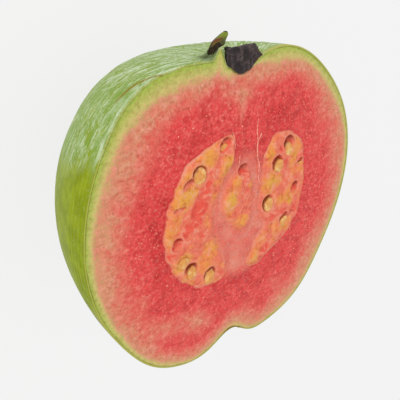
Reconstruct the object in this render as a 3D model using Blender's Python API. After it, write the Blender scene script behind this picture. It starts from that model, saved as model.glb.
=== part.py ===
"""Half of a pink guava, cut from calyx to stem, lying on its skin with the cut face up.

Metres. +Z points out of the cut face, +Y towards the calyx, +X to the right across the cut face.
The origin is the middle of the small flat spot that the half rests on.
Numbers that carry no unit below are in fruit radii, and become metres through RADIUS.
"""

import math
import random

import bpy
import numpy as np

# Driving dimensions.
RADIUS = 0.0385  # mean radius of the fruit in the cut plane, in metres
GAP = 0.0003  # clearance between pieces that touch, in metres
DEPTH = 1.18  # how much deeper the half is than a half sphere
REST_DEPTH = 1.205  # cut face down to the flat rest spot
REST_X, REST_Y = 0.02, 0.03  # middle of the rest spot

# Skin outline in the cut plane, in polar form about the middle: (height, latitude, spread) of each
# swelling, and of each hollow where the height is negative. Latitude is -90 at the stem, 90 at the calyx.
BASE_LEFT, BASE_RIGHT = 1.006, 0.980
RELIEF_LEFT = (
    (-0.155, -89.0, 11.5),
    (0.037, -54.0, 15.0),
    (0.016, 35.0, 20.0),
    (0.038, 51.0, 15.0),
    (-0.100, 90.0, 22.0),
    (-0.068, 90.0, 7.3),
)
RELIEF_RIGHT = (
    (-0.128, -90.0, 8.0),
    (0.056, -54.0, 18.0),
    (0.103, 22.0, 43.0),
    (0.017, 60.0, 14.0),
    (-0.127, 90.0, 13.8),
    (-0.030, 90.0, 4.2),
)
# Ring left round the calyx, full on the left and gone on the right: height, latitude, and its spread
# on the outer and on the steep inner side.
CROWN_LIP = (0.084, 81.8, 2.5, 1.1)
LIP_ROWS = (80.3, 81.8, 82.8, 83.8)  # extra latitudes of the mesh across the lip

# Mesh steps.
LATITUDE_STEPS = 56
LONGITUDE_STEPS = 28
FACE_RINGS = (0.35, 0.7, 1.0)  # shares of the way from the core's middle to the core's edge
FLESH_RINGS = (0.35, 0.7)  # shares of the way from the core's edge to the rim

# Seed core in the cut face.
CORE_MIDDLE = (0.03, 0.02)
CORE_RADIUS = 0.54
PAD_HEIGHT = 0.014  # how far the pulp stands proud of the flesh
PAD_PROFILE = ((0.0, -0.03), (0.0, 0.003), (0.014, 0.011), (0.034, PAD_HEIGHT))  # inset, height
PAD_STEPS = 4  # straight stretches between two outline points
LEFT_CHAMBER = (
    (-0.04, 0.48), (-0.17, 0.475), (-0.31, 0.415), (-0.43, 0.30), (-0.50, 0.15), (-0.53, -0.02),
    (-0.50, -0.17), (-0.42, -0.30), (-0.30, -0.40), (-0.17, -0.43), (-0.07, -0.39), (-0.10, -0.24),
    (-0.175, -0.08), (-0.175, 0.08), (-0.115, 0.22), (-0.04, 0.33),
)
RIGHT_CHAMBER = (
    (0.36, 0.44), (0.46, 0.42), (0.55, 0.33), (0.59, 0.20), (0.595, 0.02), (0.57, -0.12),
    (0.50, -0.25), (0.38, -0.33), (0.27, -0.40), (0.17, -0.43), (0.10, -0.38), (0.15, -0.29),
    (0.24, -0.16), (0.19, -0.04), (0.20, 0.15), (0.225, 0.30), (0.28, 0.40),
)
MIDDLE_CHAMBER = (
    (0.02, 0.30), (-0.05, 0.24), (-0.11, 0.16), (-0.13, 0.07), (-0.08, -0.03), (0.02, -0.12),
    (0.11, -0.11), (0.14, 0.00), (0.125, 0.12), (0.10, 0.24),
)

# Seeds lie in a row just inside each chamber's wall: (share of the way round its outline, inset).
# OPEN seeds stand in a bed, FLUSH ones barely show, and an EMPTY bed has lost its seed.
OPEN, FLUSH, EMPTY = "open", "flush", "empty"
LEFT_SEEDS = {
    OPEN: ((0.036, 0.060), (0.146, 0.096), (0.208, 0.079), (0.401, 0.075), (0.450, 0.058), (0.531, 0.055)),
    FLUSH: ((0.094, 0.065), (0.859, 0.050), (0.925, 0.045)),
    EMPTY: ((0.328, 0.065),),
}
RIGHT_SEEDS = {
    OPEN: ((0.074, 0.105), (0.858, 0.125), (0.770, 0.077), (0.270, 0.127), (0.353, 0.088)),
    FLUSH: ((0.132, 0.100), (0.819, 0.087), (0.696, 0.105), (0.554, 0.050)),
    EMPTY: ((0.225, 0.100), (0.172, 0.050)),
}
MIDDLE_SEEDS = {
    OPEN: (),
    FLUSH: ((0.283, 0.076), (0.500, 0.054), (0.108, 0.052)),
    EMPTY: ((0.967, 0.034),),
}
SEED_HALF_SIZES = (0.052, 0.046, 0.044)
SEED_STAND = {OPEN: 0.36, FLUSH: 0.12}  # share of a seed's thickness above the pulp
SEED_JITTER = 0.004
SEED_RANDOM = 12
BED_HALF_SIZES = {OPEN: (0.056, 0.046, 0.052), EMPTY: (0.044, 0.032, 0.036)}
BED_SHIFT = {OPEN: (-0.012, 0.032), EMPTY: (0.0, 0.0)}  # a seed's bed opens on its calyx side

# Dry calyx: outline of its cut side about its own middle, as (angle, radius), straight between corners.
CALYX_MIDDLE = (0.012, 0.912)
CALYX_OUTLINE = (
    (-98.0, 0.068), (-54.0, 0.060), (-8.0, 0.086), (1.0, 0.132), (19.0, 0.109), (38.0, 0.098),
    (52.0, 0.085), (82.0, 0.061), (127.0, 0.070), (149.0, 0.100), (154.0, 0.140), (161.0, 0.118),
    (170.0, 0.106), (182.0, 0.103), (193.0, 0.100), (212.0, 0.078), (234.0, 0.066), (262.0, 0.066),
)
CALYX_STEPS = (30, 8)  # from pole to pole, round the back
CALYX_DEPTH = 0.85
CALYX_FOLDS, CALYX_FOLD_DEPTH = 4, 0.12
CALYX_FACE_RINGS = (0.72, 0.38)
CALYX_CRUMPLE = 0.012
CALYX_RANDOM = 5

# Sepal: a dried lobe that stands behind the crown lip, folds outwards and curls over to the right.
# Left and right edge at sections from its root to its tip.
SEPAL_SECTIONS = (
    ((-0.218, 0.933, -0.040), (-0.185, 0.955, -0.020)),
    ((-0.226, 0.961, -0.025), (-0.165, 0.979, -0.004)),
    ((-0.212, 0.986, -0.020), (-0.096, 0.990, -0.028)),
    ((-0.184, 1.004, -0.035), (-0.077, 1.000, -0.040)),
    ((-0.140, 1.022, -0.050), (-0.061, 1.014, -0.050)),
    ((-0.093, 1.034, -0.060), (-0.054, 1.029, -0.050)),
    ((-0.069, 1.044, -0.060), (-0.059, 1.042, -0.050)),
)
SEPAL_THICKNESS = 0.016
SEPAL_STEPS = (3, 5)  # rows from one section to the next, spans across
SEPAL_CUP = 0.10  # bulge of a row, as a share of its width


def clear_scene():
    """Remove the objects that a new file opens with."""
    for old in list(bpy.data.objects):
        bpy.data.objects.remove(old)


def principled(name, colour, roughness):
    """Plain Principled material."""
    material = bpy.data.materials.new(name)
    material.use_nodes = True
    shader = material.node_tree.nodes["Principled BSDF"]
    shader.inputs["Base Color"].default_value = (*colour, 1.0)
    shader.inputs["Roughness"].default_value = roughness
    shader.inputs["Metallic"].default_value = 0.0
    material.diffuse_color = (*colour, 1.0)
    return material


def bump(angle, centre, spread):
    """Bell curve of an angle, 1 at its centre."""
    return np.exp(-(((angle - centre) / spread) ** 2))


def skin_radius(latitude, longitude):
    """Distance of the skin from the middle. Left and right outlines turn into each other round the back."""
    right_share = (1.0 + np.cos(np.radians(longitude))) / 2.0
    left = BASE_LEFT + sum(h * bump(latitude, c, s) for h, c, s in RELIEF_LEFT)
    right = BASE_RIGHT + sum(h * bump(latitude, c, s) for h, c, s in RELIEF_RIGHT)
    height, centre, outer, inner = CROWN_LIP
    lip = height * bump(latitude, centre, np.where(latitude < centre, outer, inner))
    return right * right_share + (left + lip) * (1.0 - right_share)


def skin_point(latitude, longitude):
    """Point of the skin, in fruit radii. Longitude runs from 0 at the right rim to 180 at the left."""
    radius = skin_radius(latitude, longitude)
    lat, lon = np.radians(latitude), np.radians(longitude)
    x = radius * np.cos(lat) * np.cos(lon)
    y = radius * np.sin(lat)
    z = np.maximum(-DEPTH * radius * np.cos(lat) * np.sin(lon), -REST_DEPTH)
    return np.stack(np.broadcast_arrays(x, y, z), -1)


def to_metres(points):
    """From fruit radii about the cut plane's middle to metres about the rest spot."""
    return (np.asarray(points, float) - (REST_X, REST_Y, -REST_DEPTH)) * RADIUS


def latitudes(steps):
    """Latitudes from stem to calyx, closer together at both ends."""
    share = np.linspace(-1.0, 1.0, steps + 1)
    return 90.0 * (0.35 * share + 0.65 * np.sin(share * math.pi / 2.0))


def shade_round(mesh):
    """Smooth shading, with edges kept where the surface turns sharply."""
    mesh.shade_smooth()
    mesh.set_sharp_from_angle(angle=math.radians(35.0))


def new_object(name, points, faces, material, smooth=True):
    """Mesh object from points in metres."""
    mesh = bpy.data.meshes.new(name)
    mesh.from_pydata([tuple(p) for p in points], [], faces)
    mesh.materials.append(material)
    mesh.update()
    if smooth:
        shade_round(mesh)
    made = bpy.data.objects.new(name, mesh)
    bpy.context.scene.collection.objects.link(made)
    return made


def strip(lower, upper):
    """Quads between two rows of vertex numbers, or triangles where a row is a single point."""
    if len(lower) == 1:
        return [(lower[0], upper[k + 1], upper[k]) for k in range(len(upper) - 1)]
    if len(upper) == 1:
        return [(lower[k], lower[k + 1], upper[0]) for k in range(len(lower) - 1)]
    return [
        (lower[k], lower[k + 1], upper[k + 1], upper[k]) for k in range(len(lower) - 1)
    ]


def half_body(back_rows, face_rings, face_middle):
    """Closed half: rows of the rounded back from one pole to the other, then rings of the cut side.

    back_rows holds arrays of points, a single point at each pole, and every row runs from the right rim
    to the left rim. face_rings holds rings of the cut side from the outside in, each with as many points
    as the rim, which runs up the right side and down the left.
    """
    points, rows = [], []
    for row in back_rows:
        rows.append(list(range(len(points), len(points) + len(row))))
        points.extend(row)
    faces = []
    for lower, upper in zip(rows, rows[1:]):
        faces += strip(lower, upper)
    right = [row[0] for row in rows]
    left = [row[-1] for row in rows[-2:0:-1]]
    outer = right + left
    for ring in face_rings:
        inner = list(range(len(points), len(points) + len(ring)))
        points.extend(ring)
        faces += strip(outer + outer[:1], inner + inner[:1])
        outer = inner
    middle = len(points)
    points.append(face_middle)
    faces += strip(outer + outer[:1], [middle])
    return points, faces


def closed_curve(corners, steps):
    """Smooth closed curve through its corners: Catmull-Rom spans, with `steps` points on each."""
    p = np.asarray(corners, float)
    t = (np.arange(steps) / steps)[None, :, None]
    a, b, c, d = (np.roll(p, shift, 0)[:, None, :] for shift in (1, 0, -1, -2))
    curve = 2 * b + (c - a) * t + (2 * a - 5 * b + 4 * c - d) * t**2
    curve = (curve + (3 * b - a - 3 * c + d) * t**3) / 2.0
    return curve.reshape(-1, 2)


def make_fruit(material):
    """Skin, flat cut face and the rings that carry the core, as one closed half."""
    lats = np.union1d(latitudes(LATITUDE_STEPS), LIP_ROWS)
    lons = np.linspace(0.0, 180.0, LONGITUDE_STEPS + 1)
    rows = [skin_point(lat, lons) for lat in lats]
    rows[0] = rows[0].mean(0, keepdims=True)
    rows[-1] = rows[-1].mean(0, keepdims=True)
    rim = np.array([row[0] for row in rows] + [row[-1] for row in rows[-2:0:-1]])
    middle = np.array([*CORE_MIDDLE, 0.0])
    spokes = rim - middle
    core_edge = middle + spokes / np.linalg.norm(spokes, axis=1)[:, None] * CORE_RADIUS
    rings = [rim + (core_edge - rim) * (1.0 - share) for share in reversed(FLESH_RINGS)]
    rings += [middle + (core_edge - middle) * share for share in reversed(FACE_RINGS)]
    points, faces = half_body(rows, rings, middle)
    return new_object("guava_half", to_metres(points), faces, material)


def inward_normals(curve):
    """Unit normals of a closed curve, pointing to its inside whichever way it runs."""
    tangent = np.roll(curve, -1, 0) - np.roll(curve, 1, 0)
    normal = np.column_stack([-tangent[:, 1], tangent[:, 0]])
    normal /= np.linalg.norm(normal, axis=1, keepdims=True)
    return normal * turning(curve)


def turning(curve):
    """1 for a closed curve that runs anticlockwise, -1 for a clockwise one."""
    following = np.roll(curve, -1, 0)
    return np.sign(np.sum(curve[:, 0] * following[:, 1] - following[:, 0] * curve[:, 1]))


def make_pad(outline):
    """Low pillow of pulp that fills one chamber: its edge rounded over, its foot sunk into the flesh."""
    curve = closed_curve(outline, PAD_STEPS)
    normals = inward_normals(curve)
    rings = []
    for inset, height in PAD_PROFILE:
        rings.append(np.column_stack([curve + normals * inset, np.full(len(curve), height)]))
    count = len(curve)
    step = int(turning(curve))
    index = [[level * count + k for k in range(count)][::step] for level in range(len(rings))]
    faces = [tuple(reversed(index[0])), tuple(index[-1])]
    for lower, upper in zip(index, index[1:]):
        faces += strip(lower + lower[:1], upper + upper[:1])
    return new_object("pad", to_metres(np.concatenate(rings)), faces, None)


def make_ovoid(centre, half_sizes, heading, around=9, along=6):
    """Low ovoid, long axis in the cut plane along `heading` degrees, a little narrower at its far end."""
    rows = []
    for k in range(1, along):
        angle = math.pi * k / along
        taper = 1.0 - 0.15 * (1.0 + math.cos(angle)) / 2.0
        turn = np.linspace(0.0, 2.0 * math.pi, around, endpoint=False)
        rows.append(
            np.column_stack(
                [
                    np.full(around, half_sizes[0] * math.cos(angle)),
                    half_sizes[1] * math.sin(angle) * taper * np.cos(turn),
                    half_sizes[2] * math.sin(angle) * taper * np.sin(turn),
                ]
            )
        )
    ends = np.array([[half_sizes[0], 0.0, 0.0], [-half_sizes[0], 0.0, 0.0]])
    points = np.concatenate([ends[:1], *rows, ends[1:]])
    c, s = math.cos(math.radians(heading)), math.sin(math.radians(heading))
    turned = np.column_stack(
        [points[:, 0] * c - points[:, 1] * s, points[:, 0] * s + points[:, 1] * c, points[:, 2]]
    )
    index = [[0]] + [[1 + r * around + k for k in range(around)] for r in range(along - 1)]
    index.append([len(points) - 1])
    faces = []
    for lower, upper in zip(index, index[1:]):
        faces += strip(upper + upper[:1] if len(upper) > 1 else upper,
                       lower + lower[:1] if len(lower) > 1 else lower)
    return new_object("ovoid", to_metres(turned + np.asarray(centre)), faces, None)


def seed_places():
    """(kind, place, heading) of every seed and empty bed: stations along the walls, with seeded jitter."""
    draw = random.Random(SEED_RANDOM)
    chambers = ((LEFT_CHAMBER, LEFT_SEEDS), (RIGHT_CHAMBER, RIGHT_SEEDS), (MIDDLE_CHAMBER, MIDDLE_SEEDS))
    places = []
    for outline, seeds in chambers:
        curve = closed_curve(outline, 12)
        inward = inward_normals(curve)
        for kind in (OPEN, FLUSH, EMPTY):
            for share, inset in seeds[kind]:
                k = round(share * len(curve)) % len(curve)
                jitter = [draw.uniform(-SEED_JITTER, SEED_JITTER) for _ in range(2)]
                heading = math.degrees(math.atan2(-inward[k][0], inward[k][1]))
                places.append((kind, curve[k] + inward[k] * inset + jitter, heading))
    return places


def collection_of(name, objects):
    """Move objects into a collection of their own, for one Boolean."""
    group = bpy.data.collections.new(name)
    bpy.context.scene.collection.children.link(group)
    for member in objects:
        bpy.context.scene.collection.objects.unlink(member)
        group.objects.link(member)
    return group


def boolean(target, operation, objects):
    """Cut or join a set of solids with one exact Boolean, apply it and drop the solids."""
    group = collection_of(operation.lower(), objects)
    modifier = target.modifiers.new(operation.lower(), "BOOLEAN")
    modifier.operand_type = "COLLECTION"
    modifier.collection = group
    modifier.operation = operation
    modifier.solver = "EXACT"
    bpy.context.view_layer.update()
    evaluated = target.evaluated_get(bpy.context.evaluated_depsgraph_get())
    result = bpy.data.meshes.new_from_object(evaluated)
    target.modifiers.clear()
    target.data = result
    shade_round(result)
    for member in list(group.objects):
        bpy.data.objects.remove(member)
    bpy.data.collections.remove(group)


def add_core(fruit):
    """Pulp pads joined on, seed beds cut out, seeds joined in."""
    boolean(fruit, "UNION", [make_pad(o) for o in (LEFT_CHAMBER, RIGHT_CHAMBER, MIDDLE_CHAMBER)])
    beds, seeds = [], []
    for kind, place, heading in seed_places():
        if kind in BED_HALF_SIZES:
            centre = (*(place + BED_SHIFT[kind]), PAD_HEIGHT)
            beds.append(make_ovoid(centre, BED_HALF_SIZES[kind], heading))
        if kind in SEED_STAND:
            height = PAD_HEIGHT + SEED_HALF_SIZES[2] * (2.0 * SEED_STAND[kind] - 1.0)
            seeds.append(make_ovoid((*place, height), SEED_HALF_SIZES, heading))
    boolean(fruit, "DIFFERENCE", beds)
    boolean(fruit, "UNION", seeds)


def calyx_radius(angle):
    """Radius of the calyx outline at an angle, straight from corner to corner."""
    angles, radii = np.array(CALYX_OUTLINE).T
    first = angles[0]
    return np.interp((np.asarray(angle, float) - first) % 360.0 + first, angles, radii)


def make_calyx(material):
    """Crumpled dry calyx in its basin: cut side level with the cut face, folded back behind it."""
    up, around = CALYX_STEPS
    lons = np.linspace(0.0, 180.0, around + 1)
    right_share = (1.0 + np.cos(np.radians(lons))) / 2.0
    fold = 1.0 - CALYX_FOLD_DEPTH * np.abs(np.sin(np.radians(lons * CALYX_FOLDS)))
    middle = np.array([*CALYX_MIDDLE, -GAP / RADIUS])
    rows = []
    for lat in np.linspace(-90.0, 90.0, up + 1):
        radius = calyx_radius(lat) * right_share + calyx_radius(180.0 - lat) * (1.0 - right_share)
        spread = radius * fold * math.cos(math.radians(lat))
        x = spread * np.cos(np.radians(lons))
        y = radius * math.sin(math.radians(lat))
        z = -CALYX_DEPTH * spread * np.sin(np.radians(lons))
        rows.append(np.stack([x, y, z], -1) + middle)
    rows[0] = rows[0][:1]
    rows[-1] = rows[-1][:1]
    rim = np.array([row[0] for row in rows] + [row[-1] for row in rows[-2:0:-1]])
    draw = random.Random(CALYX_RANDOM)
    rings = []
    for share in CALYX_FACE_RINGS:
        ring = middle + (rim - middle) * share
        ring[:, 2] -= [draw.uniform(0.0, CALYX_CRUMPLE) for _ in rim]
        rings.append(ring)
    points, faces = half_body(rows, rings, middle)
    return new_object("calyx", to_metres(points), faces, material, smooth=False)


def open_curve(stations, steps):
    """Smooth curve through stations along the first axis: Catmull-Rom spans, ends carried on straight."""
    p = np.asarray(stations, float)
    p = np.concatenate([[2 * p[0] - p[1]], p, [2 * p[-1] - p[-2]]])
    rows = []
    for a, b, c, d in zip(p, p[1:], p[2:], p[3:]):
        for t in np.arange(steps) / steps:
            curve = 2 * b + (c - a) * t + (2 * a - 5 * b + 4 * c - d) * t**2
            rows.append((curve + (3 * b - a - 3 * c + d) * t**3) / 2.0)
    return np.array([*rows, p[-2]])


def make_sepal(material):
    """Thin cupped blade: each row runs straight from the left edge to the right, then bulges outwards."""
    along, across = SEPAL_STEPS
    edges = open_curve(SEPAL_SECTIONS, along)
    share = np.linspace(0.0, 1.0, across + 1)[None, :, None]
    rows = edges[:, :1] * (1.0 - share) + edges[:, 1:] * share
    normal = np.cross(np.gradient(rows, axis=0), np.gradient(rows, axis=1))
    normal /= np.linalg.norm(normal, axis=2, keepdims=True)
    widths = np.linalg.norm(edges[:, 1:] - edges[:, :1], axis=2, keepdims=True)
    rows = rows - normal * SEPAL_CUP * widths * 4.0 * share * (1.0 - share)
    half = normal * SEPAL_THICKNESS / 2.0
    return new_object("sepal", to_metres(np.concatenate([(rows + half).reshape(-1, 3),
                      (rows - half).reshape(-1, 3)])), blade_faces(*rows.shape[:2]), material)


def blade_faces(along, across):
    """Faces of two like grids of points, split into triangles alike, with a wall round their edge."""
    index = np.arange(along * across).reshape(along, across)
    count = along * across
    faces = []
    for a in range(along - 1):
        for b in range(across - 1):
            first = (index[a, b], index[a + 1, b], index[a + 1, b + 1])
            second = (index[a, b], index[a + 1, b + 1], index[a, b + 1])
            faces += [first, second]
            faces += [tuple(v + count for v in reversed(half)) for half in (first, second)]
    edge = [*index[:, 0], *index[-1, 1:], *index[-2::-1, -1], *index[0, -2:0:-1]]
    for a, b in zip(edge, edge[1:] + edge[:1]):
        faces.append((b, a, a + count, b + count))
    return [tuple(int(v) for v in face) for face in faces]


def main():
    clear_scene()
    fruit = make_fruit(principled("flesh_and_skin", (0.72, 0.16, 0.14), 0.45))
    add_core(fruit)
    make_calyx(principled("dry_calyx", (0.03, 0.024, 0.024), 0.8))
    make_sepal(principled("dry_sepal", (0.16, 0.17, 0.04), 0.7))


main()
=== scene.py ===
"""Half of a ripe pink guava, cut from calyx to stem, lying on its skin with the cut face up.

Every shape is a numpy surface over two parameters. Numbers that carry no unit are in fruit radii
about the middle of the cut face: +X to the right, +Y to the calyx, +Z out of the face.
"""

import math

import bpy
import numpy as np
from bpy.props import FloatProperty, FloatVectorProperty, IntProperty, PointerProperty
from mathutils import Matrix


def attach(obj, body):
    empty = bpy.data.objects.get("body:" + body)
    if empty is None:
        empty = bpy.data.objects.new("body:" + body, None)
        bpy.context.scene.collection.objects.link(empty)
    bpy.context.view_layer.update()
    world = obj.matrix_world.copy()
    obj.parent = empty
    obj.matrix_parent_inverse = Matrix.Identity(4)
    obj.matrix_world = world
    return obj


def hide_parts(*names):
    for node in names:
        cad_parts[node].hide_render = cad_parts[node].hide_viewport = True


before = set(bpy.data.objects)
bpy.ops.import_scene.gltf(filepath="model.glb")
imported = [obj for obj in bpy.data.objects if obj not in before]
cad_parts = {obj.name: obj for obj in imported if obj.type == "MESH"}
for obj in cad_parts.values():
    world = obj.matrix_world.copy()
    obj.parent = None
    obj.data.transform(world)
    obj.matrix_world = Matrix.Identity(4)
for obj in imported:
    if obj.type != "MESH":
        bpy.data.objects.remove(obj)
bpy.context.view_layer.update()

bl_info = {
    "name": "Guava half",
    "version": (1, 0, 0),
    "blender": (4, 5, 0),
    "location": "3D View > Sidebar > Guava",
    "description": "Builds a cut guava half: skin, flesh, seeds, calyx, sepal and a plain studio",
    "category": "Add Mesh",
}

# ---------------------------------------------------------------- the fruit's form

RADIUS = 0.0385  # mean radius of the fruit in the cut plane, in metres
DEPTH = 1.18  # how much deeper the half is than a half sphere
REST_DEPTH = 1.205  # cut face down to the flat rest spot
REST_X, REST_Y = 0.02, 0.03  # middle of the rest spot
CORE_MIDDLE = (0.03, 0.02)  # where the spokes of the cut face meet

# Skin outline in the cut plane: (height, latitude, spread) of each swelling or hollow.
BASE_LEFT, BASE_RIGHT = 1.006, 0.980
RELIEF_LEFT = (
    (-0.155, -89.0, 11.5),
    (0.037, -54.0, 15.0),
    (0.016, 35.0, 20.0),
    (0.038, 51.0, 15.0),
    (-0.100, 90.0, 22.0),
    (-0.068, 90.0, 7.3),
)
RELIEF_RIGHT = (
    (-0.128, -90.0, 8.0),
    (0.056, -54.0, 18.0),
    (0.103, 22.0, 43.0),
    (0.017, 60.0, 14.0),
    (-0.127, 90.0, 13.8),
    (-0.030, 90.0, 4.2),
)
# Ring left round the calyx, full on the left and gone on the right: height, latitude, and its spread
# on the outer and on the steep inner side.
CROWN_LIP = (0.084, 81.8, 2.5, 1.1)
LIP_ROWS = (80.9, 81.5, 82.1, 82.5, 82.9, 83.3, 83.7, 84.2)  # extra rows of the meshes across the lip

LEFT_CHAMBER = (
    (-0.04, 0.48), (-0.17, 0.475), (-0.31, 0.415), (-0.43, 0.30), (-0.50, 0.15), (-0.53, -0.02),
    (-0.50, -0.17), (-0.42, -0.30), (-0.30, -0.40), (-0.17, -0.43), (-0.07, -0.39), (-0.10, -0.24),
    (-0.175, -0.08), (-0.175, 0.08), (-0.115, 0.22), (-0.04, 0.33),
)
RIGHT_CHAMBER = (
    (0.36, 0.44), (0.46, 0.42), (0.55, 0.33), (0.59, 0.20), (0.595, 0.02), (0.57, -0.12),
    (0.50, -0.25), (0.38, -0.33), (0.27, -0.40), (0.17, -0.43), (0.10, -0.38), (0.15, -0.29),
    (0.24, -0.16), (0.19, -0.04), (0.20, 0.15), (0.225, 0.30), (0.28, 0.40),
)
MIDDLE_CHAMBER = (
    (0.02, 0.30), (-0.05, 0.24), (-0.11, 0.16), (-0.13, 0.07), (-0.08, -0.03), (0.02, -0.12),
    (0.11, -0.11), (0.14, 0.00), (0.125, 0.12), (0.10, 0.24),
)
CHAMBERS = (LEFT_CHAMBER, RIGHT_CHAMBER, MIDDLE_CHAMBER)
CHAMBER_STEPS = 6  # straight stretches between two corners of a chamber's outline
PULP_HEIGHT = 0.012  # how far the pulp stands proud of the flesh

# Seeds that stand in the pulp: place, half length, half width, heading in degrees, height of the middle.
SEEDS = (
    ((-0.285, 0.308), 0.050, 0.050, 80.0, -0.003),
    ((-0.110, 0.430), 0.034, 0.024, 30.0, -0.010),
    ((-0.391, 0.215), 0.044, 0.036, 60.0, -0.014),
    ((-0.416, -0.187), 0.044, 0.038, 30.0, 0.008),
    ((-0.350, -0.282), 0.046, 0.040, 80.0, 0.000),
    ((-0.215, -0.362), 0.056, 0.044, 65.0, -0.002),
    ((0.425, 0.312), 0.050, 0.038, 100.0, -0.002),
    ((0.340, 0.221), 0.048, 0.042, 60.0, 0.000),
    ((0.269, -0.022), 0.052, 0.042, 80.0, 0.000),
    ((0.545, 0.190), 0.024, 0.016, 20.0, 0.000),
    ((0.414, -0.184), 0.050, 0.030, 45.0, 0.003),
    ((0.490, 0.250), 0.050, 0.026, 60.0, -0.016),
)

# Pits and seed beds: place, half length, half width, heading, depth, heading of the steep wall.
PITS = (
    ((-0.288, 0.316), 0.056, 0.054, 80.0, 0.024, 105.0),
    ((-0.104, 0.446), 0.054, 0.036, 40.0, 0.034, 125.0),
    ((-0.370, 0.272), 0.050, 0.030, 40.0, 0.020, 110.0),
    ((-0.449, -0.062), 0.046, 0.032, 45.0, 0.045, 115.0),
    ((-0.355, -0.262), 0.054, 0.048, 40.0, 0.020, 95.0),
    ((-0.216, -0.348), 0.058, 0.046, 60.0, 0.017, 100.0),
    ((0.045, 0.262), 0.048, 0.036, 20.0, 0.055, 120.0),
    ((0.426, 0.350), 0.054, 0.050, 90.0, 0.038, 110.0),
    ((0.328, 0.240), 0.054, 0.050, 60.0, 0.025, 125.0),
    ((0.264, -0.014), 0.060, 0.050, 80.0, 0.028, 150.0),
    ((0.494, 0.034), 0.050, 0.032, 70.0, 0.050, 110.0),
    ((0.545, 0.205), 0.032, 0.024, 20.0, 0.034, 100.0),
    ((0.475, -0.148), 0.040, 0.014, 30.0, 0.024, 110.0),
    ((0.412, -0.160), 0.052, 0.026, 45.0, 0.022, 110.0),
    ((-0.430, 0.150), 0.046, 0.013, 8.0, 0.020, 100.0),
)

# Sunken seeds that shine through the pulp: place, half length, half width, heading, strength, rise.
GLOWS = (
    ((-0.220, 0.390), 0.060, 0.045, 40.0, 0.80, 0.005),
    ((-0.080, 0.325), 0.062, 0.042, 75.0, 0.90, 0.009),
    ((-0.385, 0.200), 0.070, 0.050, 60.0, 0.80, 0.004),
    ((-0.170, 0.210), 0.070, 0.045, 80.0, 0.50, 0.006),
    ((-0.460, 0.100), 0.060, 0.050, 90.0, 0.60, 0.003),
    ((-0.410, -0.190), 0.060, 0.050, 30.0, 0.80, 0.005),
    ((-0.220, 0.000), 0.100, 0.035, 85.0, 0.45, 0.002),
    ((-0.190, -0.180), 0.060, 0.030, 80.0, 0.30, 0.002),
    ((-0.360, -0.070), 0.060, 0.045, 60.0, 0.40, 0.002),
    ((-0.060, 0.092), 0.060, 0.046, 60.0, 1.00, 0.009),
    ((-0.020, 0.190), 0.070, 0.036, 60.0, 0.60, 0.003),
    ((0.044, -0.068), 0.052, 0.030, 40.0, 0.72, 0.006),
    ((0.470, 0.250), 0.070, 0.036, 60.0, 0.80, 0.004),
    ((0.285, 0.130), 0.055, 0.034, 80.0, 0.85, 0.006),
    ((0.460, -0.040), 0.042, 0.026, 80.0, 0.90, 0.004),
    ((0.420, 0.420), 0.050, 0.030, 10.0, 0.40, 0.002),
    ((0.440, -0.200), 0.060, 0.034, 50.0, 0.62, 0.004),
    ((0.345, -0.215), 0.048, 0.034, 60.0, 0.62, 0.004),
    ((0.325, -0.300), 0.040, 0.028, 50.0, 0.58, 0.003),
    ((0.155, -0.370), 0.056, 0.038, 50.0, 0.75, 0.005),
    ((0.560, 0.100), 0.050, 0.030, 90.0, 0.35, 0.002),
)

# Red patches of the pulp: place, half sizes, strength.
BLUSHES = (
    ((-0.31, 0.03), (0.06, 0.09), 0.42),
    ((-0.37, -0.03), (0.05, 0.03), 0.36),
    ((-0.235, -0.03), (0.045, 0.09), 0.36),
    ((-0.27, 0.17), (0.050, 0.045), 0.40),
    ((-0.33, -0.12), (0.045, 0.030), 0.35),
    ((-0.36, 0.12), (0.05, 0.04), 0.25),
    ((-0.19, 0.33), (0.05, 0.04), 0.25),
    ((0.060, 0.235), (0.060, 0.050), 0.60),
    ((0.070, 0.110), (0.045, 0.070), 0.45),
    ((0.000, 0.000), (0.060, 0.035), 0.50),
    ((-0.215, 0.215), (0.050, 0.060), 0.45),
    ((-0.110, -0.365), (0.035, 0.035), 0.40),
    ((0.500, 0.090), (0.060, 0.070), 0.40),
    ((0.400, 0.170), (0.035, 0.050), 0.35),
    ((0.350, -0.100), (0.050, 0.040), 0.30),
    ((-0.430, -0.290), (0.030, 0.040), 0.30),
    ((0.385, -0.265), (0.050, 0.040), 0.34),
    ((0.260, -0.340), (0.060, 0.045), 0.36),
    ((0.280, -0.240), (0.035, 0.040), 0.26),
)

# Ripe and pale patches of the flesh: place, half sizes, strength (below 0 is paler).
PATCHES = (
    ((-0.56, 0.08), (0.13, 0.26), 0.75),
    ((-0.36, 0.56), (0.24, 0.10), 0.55),
    ((0.46, 0.62), (0.22, 0.16), 0.75),
    ((0.28, 0.60), (0.10, 0.20), 0.45),
    ((-0.52, -0.73), (0.13, 0.06), 0.45),
    ((0.66, -0.05), (0.07, 0.30), -0.55),
    ((0.52, 0.10), (0.05, 0.30), -0.30),
    ((0.40, -0.52), (0.26, 0.09), 0.10),
    ((-0.60, -0.30), (0.12, 0.18), 0.35),
    ((-0.29, -0.66), (0.12, 0.08), -2.00),
    ((-0.47, -0.58), (0.20, 0.11), -1.60),
    ((-0.64, -0.34), (0.10, 0.10), -0.90),
    ((0.34, -0.62), (0.12, 0.08), -0.80),
    ((-0.16, 0.91), (0.05, 0.05), -1.00),
    ((-0.88, 0.02), (0.10, 0.42), -0.30),
    ((0.02, 0.76), (0.125, 0.11), -1.55),
    ((0.02, 0.60), (0.036, 0.11), -1.35),
)

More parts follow.
